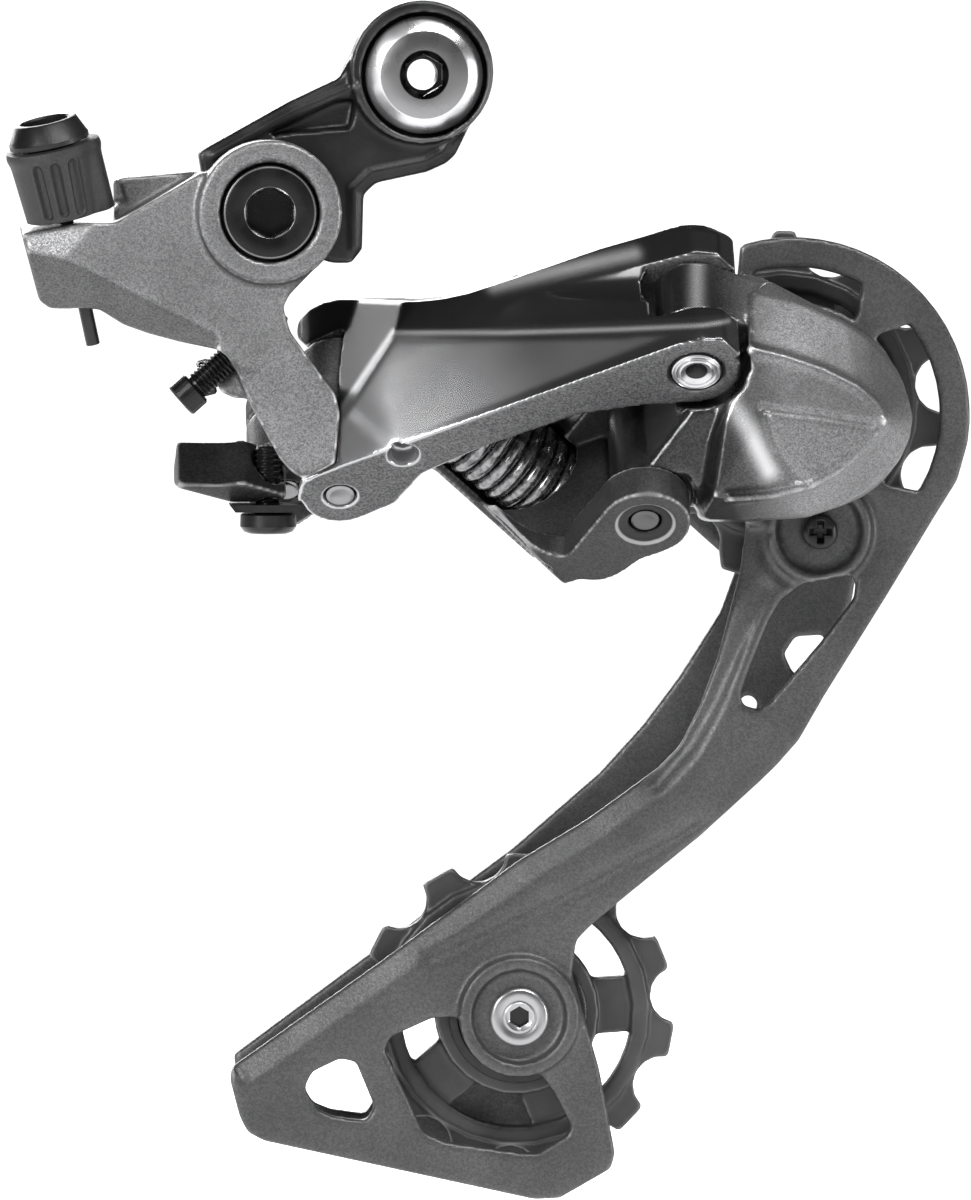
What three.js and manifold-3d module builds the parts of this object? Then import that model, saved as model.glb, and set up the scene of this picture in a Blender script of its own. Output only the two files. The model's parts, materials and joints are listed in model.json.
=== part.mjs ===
// A rear bicycle derailleur: bracket link, slant parallelogram, knuckles, long cage, two pulleys.
// Millimetres. X forward along the bike, Y inboard towards the wheel, Z up.
// The origin is on the flat face that meets the hanger, just above the mounting bolt. The pieces
// are drawn about the bolt's axis, and the whole is lowered by HANGER_POINT at the end.
import * as THREE from 'three';
import { ConvexGeometry } from 'three/addons/geometries/ConvexGeometry.js';
import { mergeVertices } from 'three/addons/utils/BufferGeometryUtils.js';
import Module from 'manifold-3d';

const wasm = await Module();
wasm.setup();

// ---- Driving dimensions ----------------------------------------------------------------------
const GAP = 0.3; // clearance between neighbouring pieces

const HANGER_POINT = 7.5; // from the bolt's axis up to the origin
const B_AXIS = { x: -21.3, z: -18.4 }; // axle of the B knuckle, along Y
const BOSS_RADIUS = 9.75;
const BRACKET_BACK = 0;
const BRACKET_FRONT = -8;
const BOSS_BACK = BRACKET_FRONT - GAP;
const BOSS_FRONT = -22;

// The four link pins are parallel and slant at 45 degrees: down and outboard.
const SLANT = (3 * Math.PI) / 4;
const REAR_PIN = new THREE.Vector3(-11.4, -6.5, -57.5); // lower end of the outer link's rear pin
const LINK_X = 47.6; // from rear pin to front pin, across the pins
const LINK_V = 24.8;
const PAIR_X = -6.8; // from the outer link's pins to the inner link's pins
const PAIR_V = -16;
const REAR_EAR = { radius: 5.35, thick: 7, top: -31.7, upperThick: 6.6 };
const FRONT_EAR = { radius: 6.1, thick: 6.3, top: -22.1, upperThick: 6.3 };
const PIN_RADIUS = 1.95;
const PIN_HEAD = { radius: 3.4, thick: 1 }; // the front outer pin's flange
const BUSH_RADIUS = 2.9;
const BORE_RADIUS = BUSH_RADIUS + GAP;
const INNER_EAR = { radius: 6.2, thick: 5.3, low: 13.3, high: -13.3 };
const SUNK = 0.6; // the inner link's front pin ends this deep in its ear
const INNER_REAR = { low: -15.5, high: -32, thick: 4.3 };

const CAGE_AXIS = { x: 53.5, z: -46.5 };
const HOUSING_RADIUS = 12.7;
const HOUSING_BACK = 1.5;
const HOUSING_FRONT = -25;
const SPRING_POCKET = { radius: 10.8, front: -13 };
const AXLE_RADIUS = 4;

const OUTER_PLATE = { front: 3, back: 5.6 };
const INNER_PLATE = { front: 16.5, back: 18.5 };
const PULLEY_MID = (OUTER_PLATE.back + INNER_PLATE.front) / 2;
const RING = { x: 51.15, z: -46.9, radius: 24.5 };
const GUIDE = { x: 50.2, z: -45.8, tip: 24.1, tipWidth: 2.8, phase: 89.3 };
const TENSION = { x: 13.5, z: -129.7, tip: 21.9, tipWidth: 3.6, phase: 22 };
const STOP_PIN = { x: 54.8, z: -62.8 };
const GUIDE_DISC = 17.4; // the inner plate's disc behind the guide pulley

const TEETH = 11;
const CHAIN_PITCH = 12.7;
const PITCH_RADIUS = CHAIN_PITCH / 2 / Math.sin(Math.PI / TEETH);
const ROLLER_SEAT = 3.95;
const TOOTH_WIDTH = 2.4;
const HUB_WIDTH = 6.6;
const PULLEY_BOLT_RADIUS = 2.5;
const BEARING_RADIUS = 4.5;

// ---- Outlines --------------------------------------------------------------------------------
const degrees = (angle) => (angle * Math.PI) / 180;

function arc(cx, cy, radius, from, to, steps = 8) {
  return Array.from({ length: steps + 1 }, (_, i) => {
    const angle = degrees(from + ((to - from) * i) / steps);
    return [cx + radius * Math.cos(angle), cy + radius * Math.sin(angle)];
  });
}

const circle = (cx, cy, radius, steps = 24) => arc(cx, cy, radius, 0, 360 - 360 / steps, steps - 1);

function curve(points, steps) {
  const spline = new THREE.SplineCurve(points.map(([x, y]) => new THREE.Vector2(x, y)));
  return spline.getPoints(steps).map((p) => [p.x, p.y]);
}

// ---- Solids ----------------------------------------------------------------------------------
function solid(geometry) {
  const bare = new THREE.BufferGeometry();
  const source = geometry.index ? geometry.toNonIndexed() : geometry;
  bare.setAttribute('position', source.getAttribute('position'));
  const merged = mergeVertices(bare, 1e-4);
  return new wasm.Manifold(new wasm.Mesh({
    numProp: 3,
    vertProperties: merged.attributes.position.array,
    triVerts: new Uint32Array(merged.index.array),
  }));
}

function geometryOf(body) {
  const mesh = body.getMesh();
  const geometry = new THREE.BufferGeometry();
  geometry.setAttribute('position', new THREE.BufferAttribute(mesh.vertProperties, 3));
  geometry.setIndex(new THREE.BufferAttribute(mesh.triVerts, 1));
  const flat = geometry.toNonIndexed();
  flat.computeVertexNormals();
  return flat;
}

const join = (...bodies) => bodies.reduce((whole, body) => whole.add(body));
const cut = (body, ...tools) => tools.reduce((rest, tool) => rest.subtract(tool), body);

function extruded(points, depth) {
  const shape = new THREE.Shape(points.map(([x, y]) => new THREE.Vector2(x, y)));
  return new THREE.ExtrudeGeometry(shape, { depth, bevelEnabled: false, curveSegments: 1 });
}

// A flat outline in X and Z, from y = front to y = back.
function slab(points, front, back) {
  return solid(extruded(points, back - front).rotateX(Math.PI / 2).translate(0, back, 0));
}

// A flat outline that runs through the whole part along Y.
const prism = (points) => slab(points, -60, 60);

// A disc along Y.
const disc = (at, radius, front, back, steps = 18) =>
  slab(circle(at.x, at.z, radius, steps), front, back);

// The frame of the pins: x stays, v is up and outboard, w runs down the pins.
const slantMatrix = new THREE.Matrix4().makeRotationX(SLANT).setPosition(REAR_PIN);

const slantPoint = (x, v, w) => new THREE.Vector3(x, v, w).applyMatrix4(slantMatrix).toArray();
const slantDirection = (x, v, w) =>
  new THREE.Vector3(x, v, w).transformDirection(slantMatrix).toArray();

// A flat outline across the pins, from w = high to w = low.
function slantSlab(points, high, low) {
  return solid(extruded(points, low - high).translate(0, 0, high).applyMatrix4(slantMatrix));
}

const slantRod = (x, v, radius, high, low, steps = 14) =>
  slantSlab(circle(x, v, radius, steps), high, low);

// A round rod, or a cone, between two points.
function rod(start, end, radius, endRadius = radius, steps = 12) {
  const from = new THREE.Vector3(...start);
  const along = new THREE.Vector3(...end).sub(from);
  const turn = new THREE.Quaternion().setFromUnitVectors(
    new THREE.Vector3(0, 1, 0),
    along.clone().normalize(),
  );
  const geometry = new THREE.CylinderGeometry(endRadius, radius, along.length(), steps);
  geometry.applyQuaternion(turn);
  geometry.translate(from.x + along.x / 2, from.y + along.y / 2, from.z + along.z / 2);
  return solid(geometry);
}

// A block that covers everything on the outer side of a plane, as far as its reach.
function beyond(point, normal, reach = 60, along = [0, 0, 1], width = reach) {
  const out = new THREE.Vector3(...normal).normalize();
  const side = new THREE.Vector3(...along).cross(out).normalize();
  const up = out.clone().cross(side);
  const geometry = new THREE.BoxGeometry(reach, width, reach);
  geometry.translate(0, 0, reach / 2);
  geometry.applyMatrix4(new THREE.Matrix4().makeBasis(side, up, out));
  geometry.translate(...point);
  return solid(geometry);
}

// A turned piece about Y: the profile gives radius and y, and starts and ends on the axis.
function turned(profile, steps = 24) {
  return new THREE.LatheGeometry(profile.map(([r, y]) => new THREE.Vector2(r, y)), steps);
}

// A ring about Y with a closed square profile.
function ring(outer, inner, front, back, steps = 18) {
  const profile = [[inner, front], [outer, front], [outer, back], [inner, back], [inner, front]];
  return turned(profile, steps);
}

// A convex blank through rings of points, and a flat ring of points at one depth.
const hull = (points) => solid(new ConvexGeometry(points.map((at) => new THREE.Vector3(...at))));
const atDepth = (points, y) => points.map(([x, z]) => [x, y, z]);

class Helix extends THREE.Curve {
  constructor(radius, length, turns) {
    super();
    this.radius = radius;
    this.length = length;
    this.turns = turns;
  }

  getPoint(t, target = new THREE.Vector3()) {
    const angle = 2 * Math.PI * this.turns * t;
    return target.set(
      this.radius * Math.cos(angle),
      this.radius * Math.sin(angle),
      this.length * t,
    );
  }
}

function coil(radius, length, turns, wire, stepsPerTurn = 14, sides = 6) {
  const section = new THREE.Shape(
    circle(0, 0, wire, sides).map(([x, y]) => new THREE.Vector2(x, y)),
  );
  return new THREE.ExtrudeGeometry(section, {
    steps: Math.round(turns * stepsPerTurn),
    extrudePath: new Helix(radius, length, turns),
    bevelEnabled: false,
  });
}

// ---- Materials -------------------------------------------------------------------------------
const finish = (color, roughness, metalness) =>
  new THREE.MeshStandardMaterial({ color, roughness, metalness });
const greyPaint = () => finish(0x5d5d60, 0.45, 0.5);
const glossGrey = () => finish(0x48484b, 0.25, 0.7);
const blackAnodised = () => finish(0x1d1d1f, 0.4, 0.6);
const cageGrey = () => finish(0x3c3c3e, 0.55, 0.4);
const brightSteel = () => finish(0xc9c9cb, 0.25, 1);
const darkSteel = () => finish(0x242426, 0.4, 0.9);
const pulleyPlastic = () => finish(0x2a2a2c, 0.6, 0);
const bronze = () => finish(0x9a7a48, 0.45, 0.9);
const sealRubber = () => finish(0x161616, 0.8, 0);

const derailleur = new THREE.Group();

function piece(name, geometry, material, parent = derailleur) {
  const mesh = new THREE.Mesh(geometry, material);
  mesh.name = name;
  parent.add(mesh);
  return mesh;
}

// A group whose own z runs down the slanted pins, at one pin's place.
function pinGroup(x, v) {
  const group = new THREE.Group();
  group.rotation.x = SLANT;
  group.position.set(x, v, 0).applyMatrix4(slantMatrix);
  derailleur.add(group);
  return group;
}

const atAxis = (axis) => {
  const group = new THREE.Group();
  group.position.set(axis.x, 0, axis.z);
  derailleur.add(group);
  return group;
};

// ---- Bracket ---------------------------------------------------------------------------------
function bracketLink() {
  const lobe = { x: -0.3, z: 0.4 };
  const outline = [
    ...arc(lobe.x, lobe.z, BOSS_RADIUS, -12, 164, 14),
    [-11.6, -0.4], [-18.6, -3.7], [-29.5, -9.8], [-30.7, -10.6],
    ...arc(B_AXIS.x, B_AXIS.z, 9.2, 160, 270, 8),
    [-14.5, -25], [-12.4, -25.6], [-9.9, -25.6], [-8.4, -23.7], [-8.2, -16.3],
    [-6.5, -14.7], [0.5, -13.2], [3.1, -12], [4.3, -10.9], [7.1, -5.2],
  ].reverse();
  const counterbore = { radius: 8.6, floor: -6.5 };
  const boltHole = 5.25;
  const axleHole = 4.1;
  const face = disc(lobe, BOSS_RADIUS, -9.6, BRACKET_FRONT + 1, 32);
  // The waist between the two lobes is recessed between low rims.
  const pocket = slab([[-9.3, -3.2], [-12, -3.6], [-25.5, -10], [-19.5, -8], [-10, -7.2]].reverse(),
    BRACKET_FRONT - 1, BRACKET_FRONT + 2);
  return cut(
    join(slab(outline, BRACKET_FRONT, BRACKET_BACK), face),
    pocket,
    disc({ x: 0, z: 0 }, counterbore.radius, -12, counterbore.floor, 32),
    disc({ x: 0, z: 0 }, boltHole, -12, 2),
    disc(B_AXIS, axleHole, -12, 2),
  );
}

function mountingBolt() {
  const flange = { radius: 8, face: 6.1, front: -9.4, edge: -8.4, back: -6.8 };
  const shaft = { radius: 4.9, end: 9, chamfer: 0.8 };
  const body = solid(turned([
    [0, flange.front], [flange.face, flange.front], [flange.radius, flange.edge],
    [flange.radius, flange.back], [shaft.radius, flange.back],
    [shaft.radius, shaft.end - shaft.chamfer], [shaft.radius - shaft.chamfer, shaft.end],
    [0, shaft.end],
  ], 36));
  const socket = { mouth: 3.2, flat: 2.5, floor: -2.5, drain: 2.1 };
  return geometryOf(cut(
    body,
    rod([0, -10.4, 0], [0, -8.6, 0], socket.mouth + 0.8, socket.mouth - 0.6),
    rod([0, -10, 0], [0, socket.floor, 0], socket.flat / Math.cos(Math.PI / 6), undefined, 6),
    rod([0, -10, 0], [0, 10, 0], socket.drain),
  ));
}

piece('bracket_link', geometryOf(bracketLink()), blackAnodised());
piece('mounting_bolt', mountingBolt(), brightSteel());

const bAxle = atAxis(B_AXIS);

function axleBolt() {
  const head = { radius: 6.4, front: BOSS_FRONT - 0.2, back: -18.6 };
  const shaft = { radius: 3.7, end: -0.6 };
  const body = solid(turned([
    [0, head.front], [head.radius - 0.6, head.front], [head.radius, head.front + 0.6],
    [head.radius, head.back], [shaft.radius, head.back], [shaft.radius, shaft.end],
    [0, shaft.end],
  ]));
  const hexFlat = 2.95;
  return geometryOf(cut(
    body,
    rod([0, head.front - 1, 0], [0, head.front + 0.7, 0], 4.2, 2.6),
    rod([0, head.front - 1, 0], [0, -17, 0], hexFlat / Math.cos(Math.PI / 6), undefined, 6),
  ));
}

piece('b_axle_bolt', axleBolt(), darkSteel(), bAxle);
piece('b_axle_bush', ring(4.9, 4.05, -18.2, -8.6), bronze(), bAxle);

// ---- B knuckle -------------------------------------------------------------------------------
const ADJUSTER_TOP = new THREE.Vector3(-51.6, -17.2, -6);
const ADJUSTER_DOWN = new THREE.Vector3(0.207, 0.15, -0.967).normalize();
const alongAdjuster = (distance) =>
  ADJUSTER_TOP.clone().addScaledVector(ADJUSTER_DOWN, distance).toArray();
const SEAT = 14; // distance down the adjuster axis to its seat on the knuckle
const LINER_RADIUS = 0.95;

const SCREW_HEAD = [-31.06, -9, -42.43];
const SCREW_TIP = [-19.4, -9, -32.1];

const LIMIT_SCREWS = [
  { name: 'high_limit_screw', head: [-28.6, -2.2, -41.2], tip: [-18.4, -2.2, -38.6] },
  { name: 'low_limit_screw', head: [-28.6, 3.6, -41.2], tip: [-18.4, 3.6, -38.6] },
];

const KNUCKLE_ARM = [
  [-28.3, -36], [-25.7, -40], [-23.1, -46], [-19.9, -51.8], [-18.3, -53.6], [-16.6, -54.6],
  [-12.4, -52.4], [-11.8, -45.6], [-12.4, -43], [-14.1, -40.7], [-16.1, -37.9], [-18.5, -34.6],
  [-19.5, -31.2], [-18.6, -29.5], [-15.4, -26.2], [-26, -24],
];

function bKnuckle() {
  const front = -20.5;
  const back = BOSS_BACK;
  const bar = slab([
    [-55.2, -19.8], [-52.4, -30.5], [-50.9, -31.6], [-44.3, -31.6], [-41, -33.7], [-37.6, -34.9],
    [-33.4, -36], [-28.3, -37], [-24, -40], [-19, -35.2], [-20.2, -31.2], [-18.2, -28.4],
    [-21, -14],
    [-30.5, -13], [-42.2, -19.8],
  ], front, back);
  const rearWall = slab([
    [-42.2, -21], [-42.3, -14], [-31, -13], [-26, -22],
  ], -12.4, back);
  // The arm's face runs on from the bar's and leans back towards its foot.
  const armFace = beyond([-24, front, -36], [0, -18, -2]);
  const arm = cut(slab(KNUCKLE_ARM, front, 2), armFace);
  const lug = slab([[-28, -43], [-27, -37], [-20, -36], [-20.5, -44], [-25.8, -44]], -8, 6.5);
  const barrel = (x, v, radius, high, low) => slantRod(x, v, radius, high, low, 20);
  const rearBarrel = barrel(0, 0, 5.6, REAR_EAR.top + REAR_EAR.upperThick + GAP,
    -REAR_EAR.thick - GAP);
  const innerBarrel = barrel(PAIR_X, PAIR_V, 5.4, INNER_REAR.high + INNER_REAR.thick + GAP,
    INNER_REAR.low - INNER_REAR.thick - GAP);
  const bridge = slantSlab([
    [PAIR_X - 4.6, PAIR_V - 1], [PAIR_X + 4.6, PAIR_V - 1], [4.6, 0], [-4.6, 0],
  ], -25, -20.2);
  // The inner link's clamp arm swings up through this sector.
  const armSweep = slantSlab([
    [PAIR_X, PAIR_V], [PAIR_X + 3, PAIR_V + 11.1],
    ...arc(PAIR_X, PAIR_V, 18.6, 86, 205, 9),
  ], -20.1, 2);
  const crease = new THREE.Vector3(23.2, 0, -11.6).normalize();
  // Below the crease the face falls away inboard.
  const lowerFace = beyond([-43.1, front, -27.6], [crease.z * 0.9, -0.85, -crease.x * 0.9],
    40, crease.toArray(), 34);
  const upperFace = beyond([-45, front, -20.5], [-0.25, -1, 0.22], 30, [1, 0, 0], 30);
  const boss = disc(B_AXIS, BOSS_RADIUS, BOSS_FRONT, BOSS_BACK, 36);
  const bracketSide = disc(B_AXIS, 9.6, BOSS_BACK, 3, 28);
  const bracketRoom = slab([[-32, -9], [-32, -26.6], [-7, -26.6], [-7, -9]], BOSS_BACK, 3);
  const bodyOnly = [cut(bar, lowerFace, upperFace), rearWall, cut(arm, bracketRoom), lug, bridge];
  const blank = cut(join(...bodyOnly, boss), armSweep);
  const headRoom = { radius: 6.75, floor: -18.3 };
  return cut(
    join(blank, rearBarrel, innerBarrel),
    bracketSide,
    bracketRoom,
    disc(B_AXIS, headRoom.radius, -24, headRoom.floor, 28),
    disc(B_AXIS, 5.2, -24, 0, 28),
    slantRod(0, 0, BORE_RADIUS, -34, 2),
    slantRod(PAIR_X, PAIR_V, BORE_RADIUS, -34, 2),
    // The ears of the two links swing in these gaps.
    slantRod(0, 0, 6.6, REAR_EAR.top - 6, REAR_EAR.top + REAR_EAR.upperThick + GAP, 18),
    slantRod(0, 0, 6.6, -REAR_EAR.thick - GAP, 8, 18),
    slantRod(PAIR_X, PAIR_V, 7, INNER_REAR.low - INNER_REAR.thick - GAP, INNER_REAR.low + 12, 16),
    slantRod(PAIR_X, PAIR_V, 7, INNER_REAR.high - 12, INNER_REAR.high + INNER_REAR.thick + GAP, 16),
    rod(alongAdjuster(0), alongAdjuster(SEAT), 9),
    rod(alongAdjuster(SEAT), alongAdjuster(40), LINER_RADIUS + GAP),
    rod(SCREW_HEAD, SCREW_TIP, 2.3),
    ...LIMIT_SCREWS.map(({ head, tip }) => rod(head, tip, 1.7)),
  );
}

piece('b_knuckle', geometryOf(bKnuckle()), greyPaint());

function screw(head, tip, headRadius, headLength, shaftRadius, drive) {
  const start = new THREE.Vector3(...head);
  const away = start.clone().sub(new THREE.Vector3(...tip)).normalize();
  const crown = start.clone().addScaledVector(away, headLength).toArray();
  const driveEnd = start.clone().addScaledVector(away, headLength * 0.35).toArray();
  const beyondCrown = start.clone().addScaledVector(away, headLength + 1).toArray();
  return geometryOf(cut(
    join(rod(head, crown, headRadius, headRadius * 0.93), rod(driveEnd, tip, shaftRadius)),
    rod(driveEnd, beyondCrown, drive, undefined, 6),
  ));
}

piece('b_tension_screw', screw(SCREW_HEAD, SCREW_TIP, 2.5, 2.9, 1.95, 1.3), darkSteel());
for (const { name, head, tip } of LIMIT_SCREWS) {
  piece(name, screw(head, tip, 2.4, 1.8, 1.35, 0.9), darkSteel());
}

// The cable adjuster: a fixed collar, a fluted knob that turns on it, and the cable liner.
const adjuster = new THREE.Group();
adjuster.position.copy(ADJUSTER_TOP);
adjuster.quaternion.setFromUnitVectors(new THREE.Vector3(0, -1, 0), ADJUSTER_DOWN);
derailleur.add(adjuster);

function adjusterKnob() {
  const knob = { top: -3.4, bottom: -13.4, radius: 5.9, bore: 4 };
  const lobe = { angle: 18, reach: 1.7, width: 30 };
  const grooves = { angles: [78, 102, 126, 258, 282, 306], radius: 0.65, from: -4.8, to: -12.2 };
  const steps = 48;
  const outline = Array.from({ length: steps }, (_, i) => {
    const angle = (360 * i) / steps;
    const off = ((angle - lobe.angle + 540) % 360) - 180;
    const radius = knob.radius + lobe.reach * Math.exp(-((off / lobe.width) ** 2));
    return [radius * Math.cos(degrees(angle)), radius * Math.sin(degrees(angle))];
  });
  const body = solid(extruded(outline, knob.top - knob.bottom).rotateX(Math.PI / 2)
    .translate(0, knob.top, 0));
  const bore = rod([0, knob.top + 1, 0], [0, knob.bottom - 1, 0], knob.bore);
  const slots = grooves.angles.map((angle) => {
    const x = (knob.radius + 0.1) * Math.cos(degrees(angle));
    const z = (knob.radius + 0.1) * Math.sin(degrees(angle));
    return rod([x, grooves.from, z], [x, grooves.to, z], grooves.radius, undefined, 8);
  });
  return geometryOf(cut(body, bore, ...slots));
}

function adjusterCollar() {
  const body = solid(turned([
    [0, -13.4], [3.6, -13.4], [3.6, -3.1], [5.6, -3.1], [4.3, 0], [0, 0],
  ], 28));
  return geometryOf(cut(body, rod([0, 1, 0], [0, -5, 0], 3.4), rod([0, 1, 0], [0, -15, 0], 1.4)));
}

piece('adjuster_knob', adjusterKnob(), pulleyPlastic(), adjuster);
piece('adjuster_collar', adjusterCollar(), blackAnodised(), adjuster);
piece('cable_liner', ring(LINER_RADIUS, 0.5, -31.5, -12, 14), darkSteel(), adjuster);

// ---- Outer link ------------------------------------------------------------------------------
const LINK_LENGTH = Math.hypot(LINK_X, LINK_V);
const LINK_ANGLE = Math.atan2(LINK_V, LINK_X);
// A point of the link from its distance along the link and its height over the pin line.
const onLink = (along, over) => [
  along * Math.cos(LINK_ANGLE) - over * Math.sin(LINK_ANGLE),
  along * Math.sin(LINK_ANGLE) + over * Math.cos(LINK_ANGLE),
];

function outerLink() {
  const angle = (LINK_ANGLE * 180) / Math.PI;
  const flange = [
    ...arc(0, 0, REAR_EAR.radius, angle + 90, angle + 270, 10),
    onLink(6, -4.9), onLink(12, -1.2), onLink(22, -0.2), onLink(36, -0.4), onLink(44, -2.6),
    ...arc(LINK_X, LINK_V, FRONT_EAR.radius, angle - 110, angle + 90, 12),
  ];
  const lowerFlange = slantSlab(flange, -FRONT_EAR.thick, 0);
  const rearFoot = slantSlab(arc(0, 0, REAR_EAR.radius, 0, 345, 23), -REAR_EAR.thick, 0);
  // The outline as seen square-on from outboard trims the broad web.
  const face = [
    [-17, -56.1], [-13.8, -49.5], [-11.2, -45.4], [-11.8, -42.8], [-13.6, -40.3], [-15.5, -37.6],
    [-17.4, -36],
    [-15.9, -32.5], [-13.7, -31.6], [-11, -31], [-0.7, -30.9], [2.7, -30.5],
    [6.2, -29.7], [12.1, -27.7], [23.8, -23.6], [29.5, -21.9], [32.5, -21], [36.6, -20.6],
    [39, -21], [41.2, -21.7], [42.6, -22.9], [43.4, -26.4], [44, -41], [41.1, -44.4],
    [37, -45.6], [26, -43.6], [17.3, -46], [3.2, -52.5], [-3.5, -55.8], [-11, -62.2],
    [-17.5, -60],
  ];
  const webShape = [
    onLink(-7.5, 1.5), onLink(3, 2.2), onLink(14, 3.2), onLink(40, 3.4), onLink(47.4, 2.8),
    onLink(55, 2.8), onLink(60.4, 0), onLink(59.6, 4), onLink(56, 6.3), onLink(46, 7),
    onLink(20, 10), onLink(6, 11.5), onLink(0, 10), onLink(-5, 6),
  ];
  const web = slantSlab(webShape, -38, 0).intersect(prism(face));
  // The web's facets: a broad lower one, a strip above it that leans back, and a dark rear end.
  const bandTop = { over: 5.45, lean: 0.364 };
  const [bandX, bandV] = onLink(0, bandTop.over);
  const mainNormal = slantDirection(
    -Math.sin(LINK_ANGLE), Math.cos(LINK_ANGLE), bandTop.lean,
  );
  const wide = 160; // covers the whole link
  const mainFacet = beyond(slantPoint(bandX, bandV, 0), mainNormal, wide);
  const strip = beyond([-3.8, -7.7, -36.2], [-0.3625, -0.6595, 0.6584], wide);
  const rearSide = beyond([-4.4, -7.7, -36.8], [-0.759, -0.383, 0.527], wide);
  const scoop = rod([1.9, -6.6, -29.4], [33, -22.4, -25], 0.4, 5.6, 20);
  const upperRear = slantSlab([
    ...arc(0, 0, REAR_EAR.radius, angle + 90, angle + 270, 10),
    onLink(8, -3.4), onLink(14, 3.6), onLink(12, 6.4),
  ], REAR_EAR.top, REAR_EAR.top + REAR_EAR.upperThick).intersect(prism(face));
  const upperFront = slantSlab([
    ...arc(LINK_X, LINK_V, FRONT_EAR.radius, angle - 90, angle + 90, 12),
    onLink(38, 6.6), onLink(34, 3.4), onLink(44, -3.4),
  ], FRONT_EAR.top, FRONT_EAR.top + FRONT_EAR.upperThick);
  const innerRoom = slantSlab([
    onLink(9, -14), onLink(9, -1), onLink(14, 3.2), onLink(41, 3.4), onLink(45, -14),
  ], REAR_EAR.top + REAR_EAR.upperThick, -FRONT_EAR.thick);
  const frontWindow = slantSlab(circle(LINK_X, LINK_V, 7.4, 20),
    FRONT_EAR.top + FRONT_EAR.upperThick, -FRONT_EAR.thick);
  const windowEnd = slantSlab([
    onLink(51, 20), onLink(51, -20), onLink(75, -20), onLink(75, 20),
  ], FRONT_EAR.top + FRONT_EAR.upperThick, -FRONT_EAR.thick);
  const rearWindow = slantSlab(circle(0, 0, 6.3, 18), REAR_EAR.top + REAR_EAR.upperThick,
    -REAR_EAR.thick);
  const rearEnd = slantSlab([
    onLink(3, 6.6), onLink(-20, 6.6), onLink(-20, -20), onLink(3, -20),
  ], REAR_EAR.top + REAR_EAR.upperThick, -REAR_EAR.thick);
  const aboveFront = slantSlab([
    onLink(30, -20), onLink(80, -20), onLink(80, 6.2), onLink(30, 6.2),
  ], -50, FRONT_EAR.top);
  const dimple = { x: 8.4, v: 8.3, radius: 2.1, depth: 3 };
  const armRoom = slab(KNUCKLE_ARM.map(([x, z]) => [x + 0.5, z - 0.4]), -21, 2.4);
  return cut(
    join(cut(web, mainFacet, strip, rearSide, scoop), lowerFlange, rearFoot, upperRear, upperFront),
    innerRoom, frontWindow, windowEnd, rearWindow, rearEnd, aboveFront, armRoom,
    slantRod(dimple.x, dimple.v, dimple.radius, -dimple.depth, 3, 16),
    slantRod(0, 0, PIN_RADIUS + GAP, -40, 5),
    slantRod(LINK_X, LINK_V, PIN_RADIUS + GAP, -40, 5),
    slantRod(LINK_X, LINK_V, PIN_HEAD.radius + GAP, -PIN_HEAD.thick, 5, 24),
  );
}

piece('outer_link', geometryOf(outerLink()), glossGrey());

// A link pin, headed at its lower end with a shallow staking ring.
function linkPin(high, low, head) {
  const staked = 0.4;
  const flange = head
    ? [[PIN_RADIUS, low - head.thick], [head.radius, low - head.thick], [head.radius, low - 0.35],
      [PIN_RADIUS + 0.5, low - 0.1], [PIN_RADIUS, low - staked]]
    : [[PIN_RADIUS, low - staked]];
  return turned([
    [0, high], [PIN_RADIUS - staked, high], [PIN_RADIUS, high + staked],
    ...flange, [PIN_RADIUS - staked, low], [0, low],
  ], 20).rotateX(Math.PI / 2);
}

function bush(high, low) {
  return ring(BUSH_RADIUS, PIN_RADIUS + GAP, high, low, 20).rotateX(Math.PI / 2);
}

const rearOuterPin = pinGroup(0, 0);
const frontOuterPin = pinGroup(LINK_X, LINK_V);
const rearInnerPin = pinGroup(PAIR_X, PAIR_V);
const frontInnerPin = pinGroup(LINK_X + PAIR_X, LINK_V + PAIR_V);

piece('outer_link_rear_pin', linkPin(REAR_EAR.top, 0), brightSteel(), rearOuterPin);
piece('outer_link_front_pin', linkPin(FRONT_EAR.top, 0.2, PIN_HEAD), brightSteel(), frontOuterPin);
piece('inner_link_rear_pin', linkPin(INNER_REAR.high, INNER_REAR.low), brightSteel(), rearInnerPin);
piece('inner_link_front_pin', linkPin(INNER_EAR.high, INNER_EAR.low - SUNK), brightSteel(),
  frontInnerPin);

piece('rear_outer_bush', bush(REAR_EAR.top + 7.4, -7.8), bronze(), rearOuterPin);
piece('front_outer_bush', bush(FRONT_EAR.top + 7.2, -7.2), bronze(), frontOuterPin);
piece('rear_inner_bush', bush(INNER_REAR.high + 5.2, INNER_REAR.low - 5.2), bronze(), rearInnerPin);
piece('front_inner_bush', bush(INNER_EAR.high + 6, INNER_EAR.low - 6), bronze(), frontInnerPin);

// ---- Inner link ------------------------------------------------------------------------------
const CLAMP = { x: -20.8, y: 11, top: -59 };
// The return spring lies between the two links and pulls them outboard.
const SPRING = { start: [6.5, -3.4, -46.8], end: [19.6, 3, -58.6], radius: 5.5, wire: 1, turns: 9 };

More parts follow.
